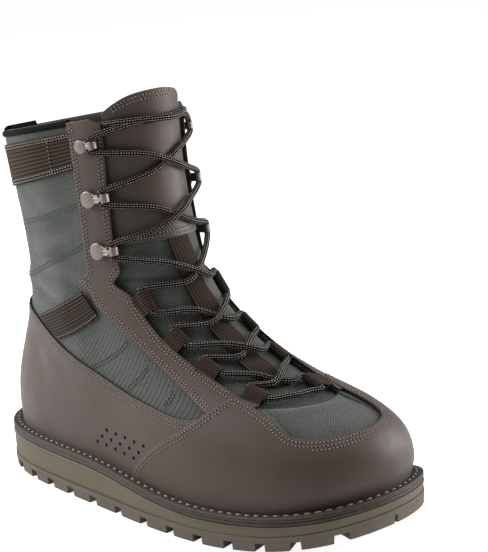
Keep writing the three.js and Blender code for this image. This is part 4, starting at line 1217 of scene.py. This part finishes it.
pricks = bmesh.new()
seams = bmesh.new()
top_off = GAP + LEATHER + 0.1
rand_edge = [rand_spot(k / 240, 1) for k in range(6, 235)]
for distance in (-2.2, -4.6):
    sew(seams, beside(rand_edge, distance), top_off)
vamp_edge = [vamp_spot(k / 260, 1) for k in range(261)]
for distance in (-2.2, -4.6):
    sew(seams, beside(vamp_edge, distance), top_off + 0.6)
sew(seams, beside(vamp_edge[95:170], -7.0), top_off + 0.6)
for start in (0, 1):
    side_seam = [vamp_spot(start, k / 40) for k in range(2, 41)]
    for distance in (2.2, 4.6):
        sew(seams, beside(side_seam, distance if start else -distance), top_off + 0.6)
for side in (1, -1):
    rear = [stay_spot(side, 0, k / 120) for k in range(2, 120)]
    front = [stay_spot(side, 1, k / 120) for k in range(2, 119)]
    for distance in (2.0, 4.3):
        sew(seams, beside(rear, -distance * side), top_off)
        sew(seams, beside(front, distance * side), top_off)
    band_end = [(side * 0.262, 9.1 + 0.067 * k) for k in range(11)]
    sew(seams, [(turn % 1, level) for turn, level in band_end], 2.1)
piece("seam_stitches", seams, thread, "leather")

collar_rows = bmesh.new()
for edge in (0.05, 0.12, 0.88, 0.95):
    turns = [(2 * k / 160 - 1) * 0.305 for k in range(161)]
    sew(collar_rows, [(turn, collar_level(turn, edge)) for turn in turns], 1.95, radius=0.5)
for side in (1, -1):
    for r in (0.06, 0.94):
        sew(collar_rows, [ankle_spot(side, k / 29, r) for k in range(30)], 1.9)
piece("webbing_stitches", collar_rows, thread, "webbing")

# Quilting rows in the cloth, in a thread of its own colour: pairs of lines from the rand up to the eyestay.
cloth_thread, shader = grained("cloth_thread", "5a625e", "8e9692", 800.0)
settle(shader, Roughness=0.7)
# turns and levels along the middle of each pair
QUILT = [
    ((0.02, 8.1), (0.103, 8.19), (0.2, 8.32), (0.292, 8.51)),
    ((0.02, 6.75), (0.114, 6.87), (0.2, 7.3), (0.284, 7.72)),
    ((0.219, 3.93), (0.26, 4.7), (0.301, 5.41)),
    ((0.258, 3.51), (0.283, 4.1), (0.306, 4.64)),
    ((0.294, 3.26), (0.306, 3.56), (0.317, 3.87)),
]
quilt = bmesh.new()
for side in (1, -1):
    for spots in QUILT:
        line = trace(spots, 60)
        line = [(turn if side > 0 else 1 - turn, level) for turn, level in line]
        for distance in (1.1, -1.1):
            moved = beside(line, distance)
            points = [off_last(t, v, 0.25 + (crease(t, v) if 5 < v < 9.5 else 0)) for t, v in moved]
            stitch_along(quilt, points, [last_normal(t, v) for t, v in moved], 2.3, 1.6, 0.36)
piece("quilting_stitches", quilt, cloth_thread, "cloth")

tongue_rows = bmesh.new()
for distance in (1.8, 4.0):
    line = [tongue_spot(k / 120, 1) for k in range(8, 113)]
    moved = beside(line, -distance)
    points = [off_last(t, v, 1.5 - tongue_depth(clamp(k / 104, 0, 1), v)) for k, (t, v) in enumerate(moved)]
    stitch_along(tongue_rows, points, [last_normal(t, v) for t, v in moved], 2.4, 1.7, 0.4)
for level in (7.8, 7.87):
    points, normals = [], []
    for k in range(61):
        s = k / 60
        turn, height = tongue_spot(s, (level - 7.72) / (tongue_top(s) - 7.72), 7.72)
        points.append(off_last(turn, height, 1.5 - tongue_depth(s, height)))
        normals.append(last_normal(turn, height))
    stitch_along(tongue_rows, points, normals, 2.4, 1.7, 0.4)
piece("tongue_stitches", tongue_rows, thread, "leather")

welt_rows = bmesh.new()
points = []
for k in range(401):
    outer, inner = edge_point(k / 400, 1.5), off_last(k / 400, 0, 2.0)
    spot_here = outer.lerp(Vector((inner.x, inner.y, 0)), 0.45)
    points.append(Vector((spot_here.x, spot_here.y, rim_top(spot_here.y) + 0.1)))
stitch_along(welt_rows, points, [Vector((0, 0, 1))] * len(points), 6.4, 4.4, 0.75)
piece("welt_stitches", welt_rows, thread, "welt")

# Drain holes: five slanted rows of three on each side of the rand, each a flat disc of painted shadow laid on
# the leather in place of a hole punched through it.
hole_dark, shader = grained("hole_shadow", "050505", "141210", 600.0)
settle(shader, Roughness=0.95, Specular_IOR_Level=0.1)
# turns of the first and the last row
DRAIN_FROM, DRAIN_TO = 0.2235, 0.2625
holes = bmesh.new()
for side in (1, -1):
    for k in range(5):
        for n in range(3):
            turn = DRAIN_FROM + (DRAIN_TO - DRAIN_FROM) * k / 4 - 0.0057 * n
            level = 1.49 - 0.33 * n + 0.01 * k
            turn = turn if side > 0 else 1 - turn
            middle = off_last(turn, level, GAP + LEATHER + 0.05)
            turned = last_normal(turn, level).to_track_quat("Z", "Y").to_matrix().to_4x4()
            seat = Matrix.Translation(middle * 0.001) @ turned
            bmesh.ops.create_circle(holes, cap_ends=True, segments=14, radius=0.00125, matrix=seat)
piece("drain_holes", holes, hole_dark, "leather")
# Needle holes: small discs of the same painted shadow, one after each stitch.
piece("needle_holes", pricks, hole_dark, "leather")
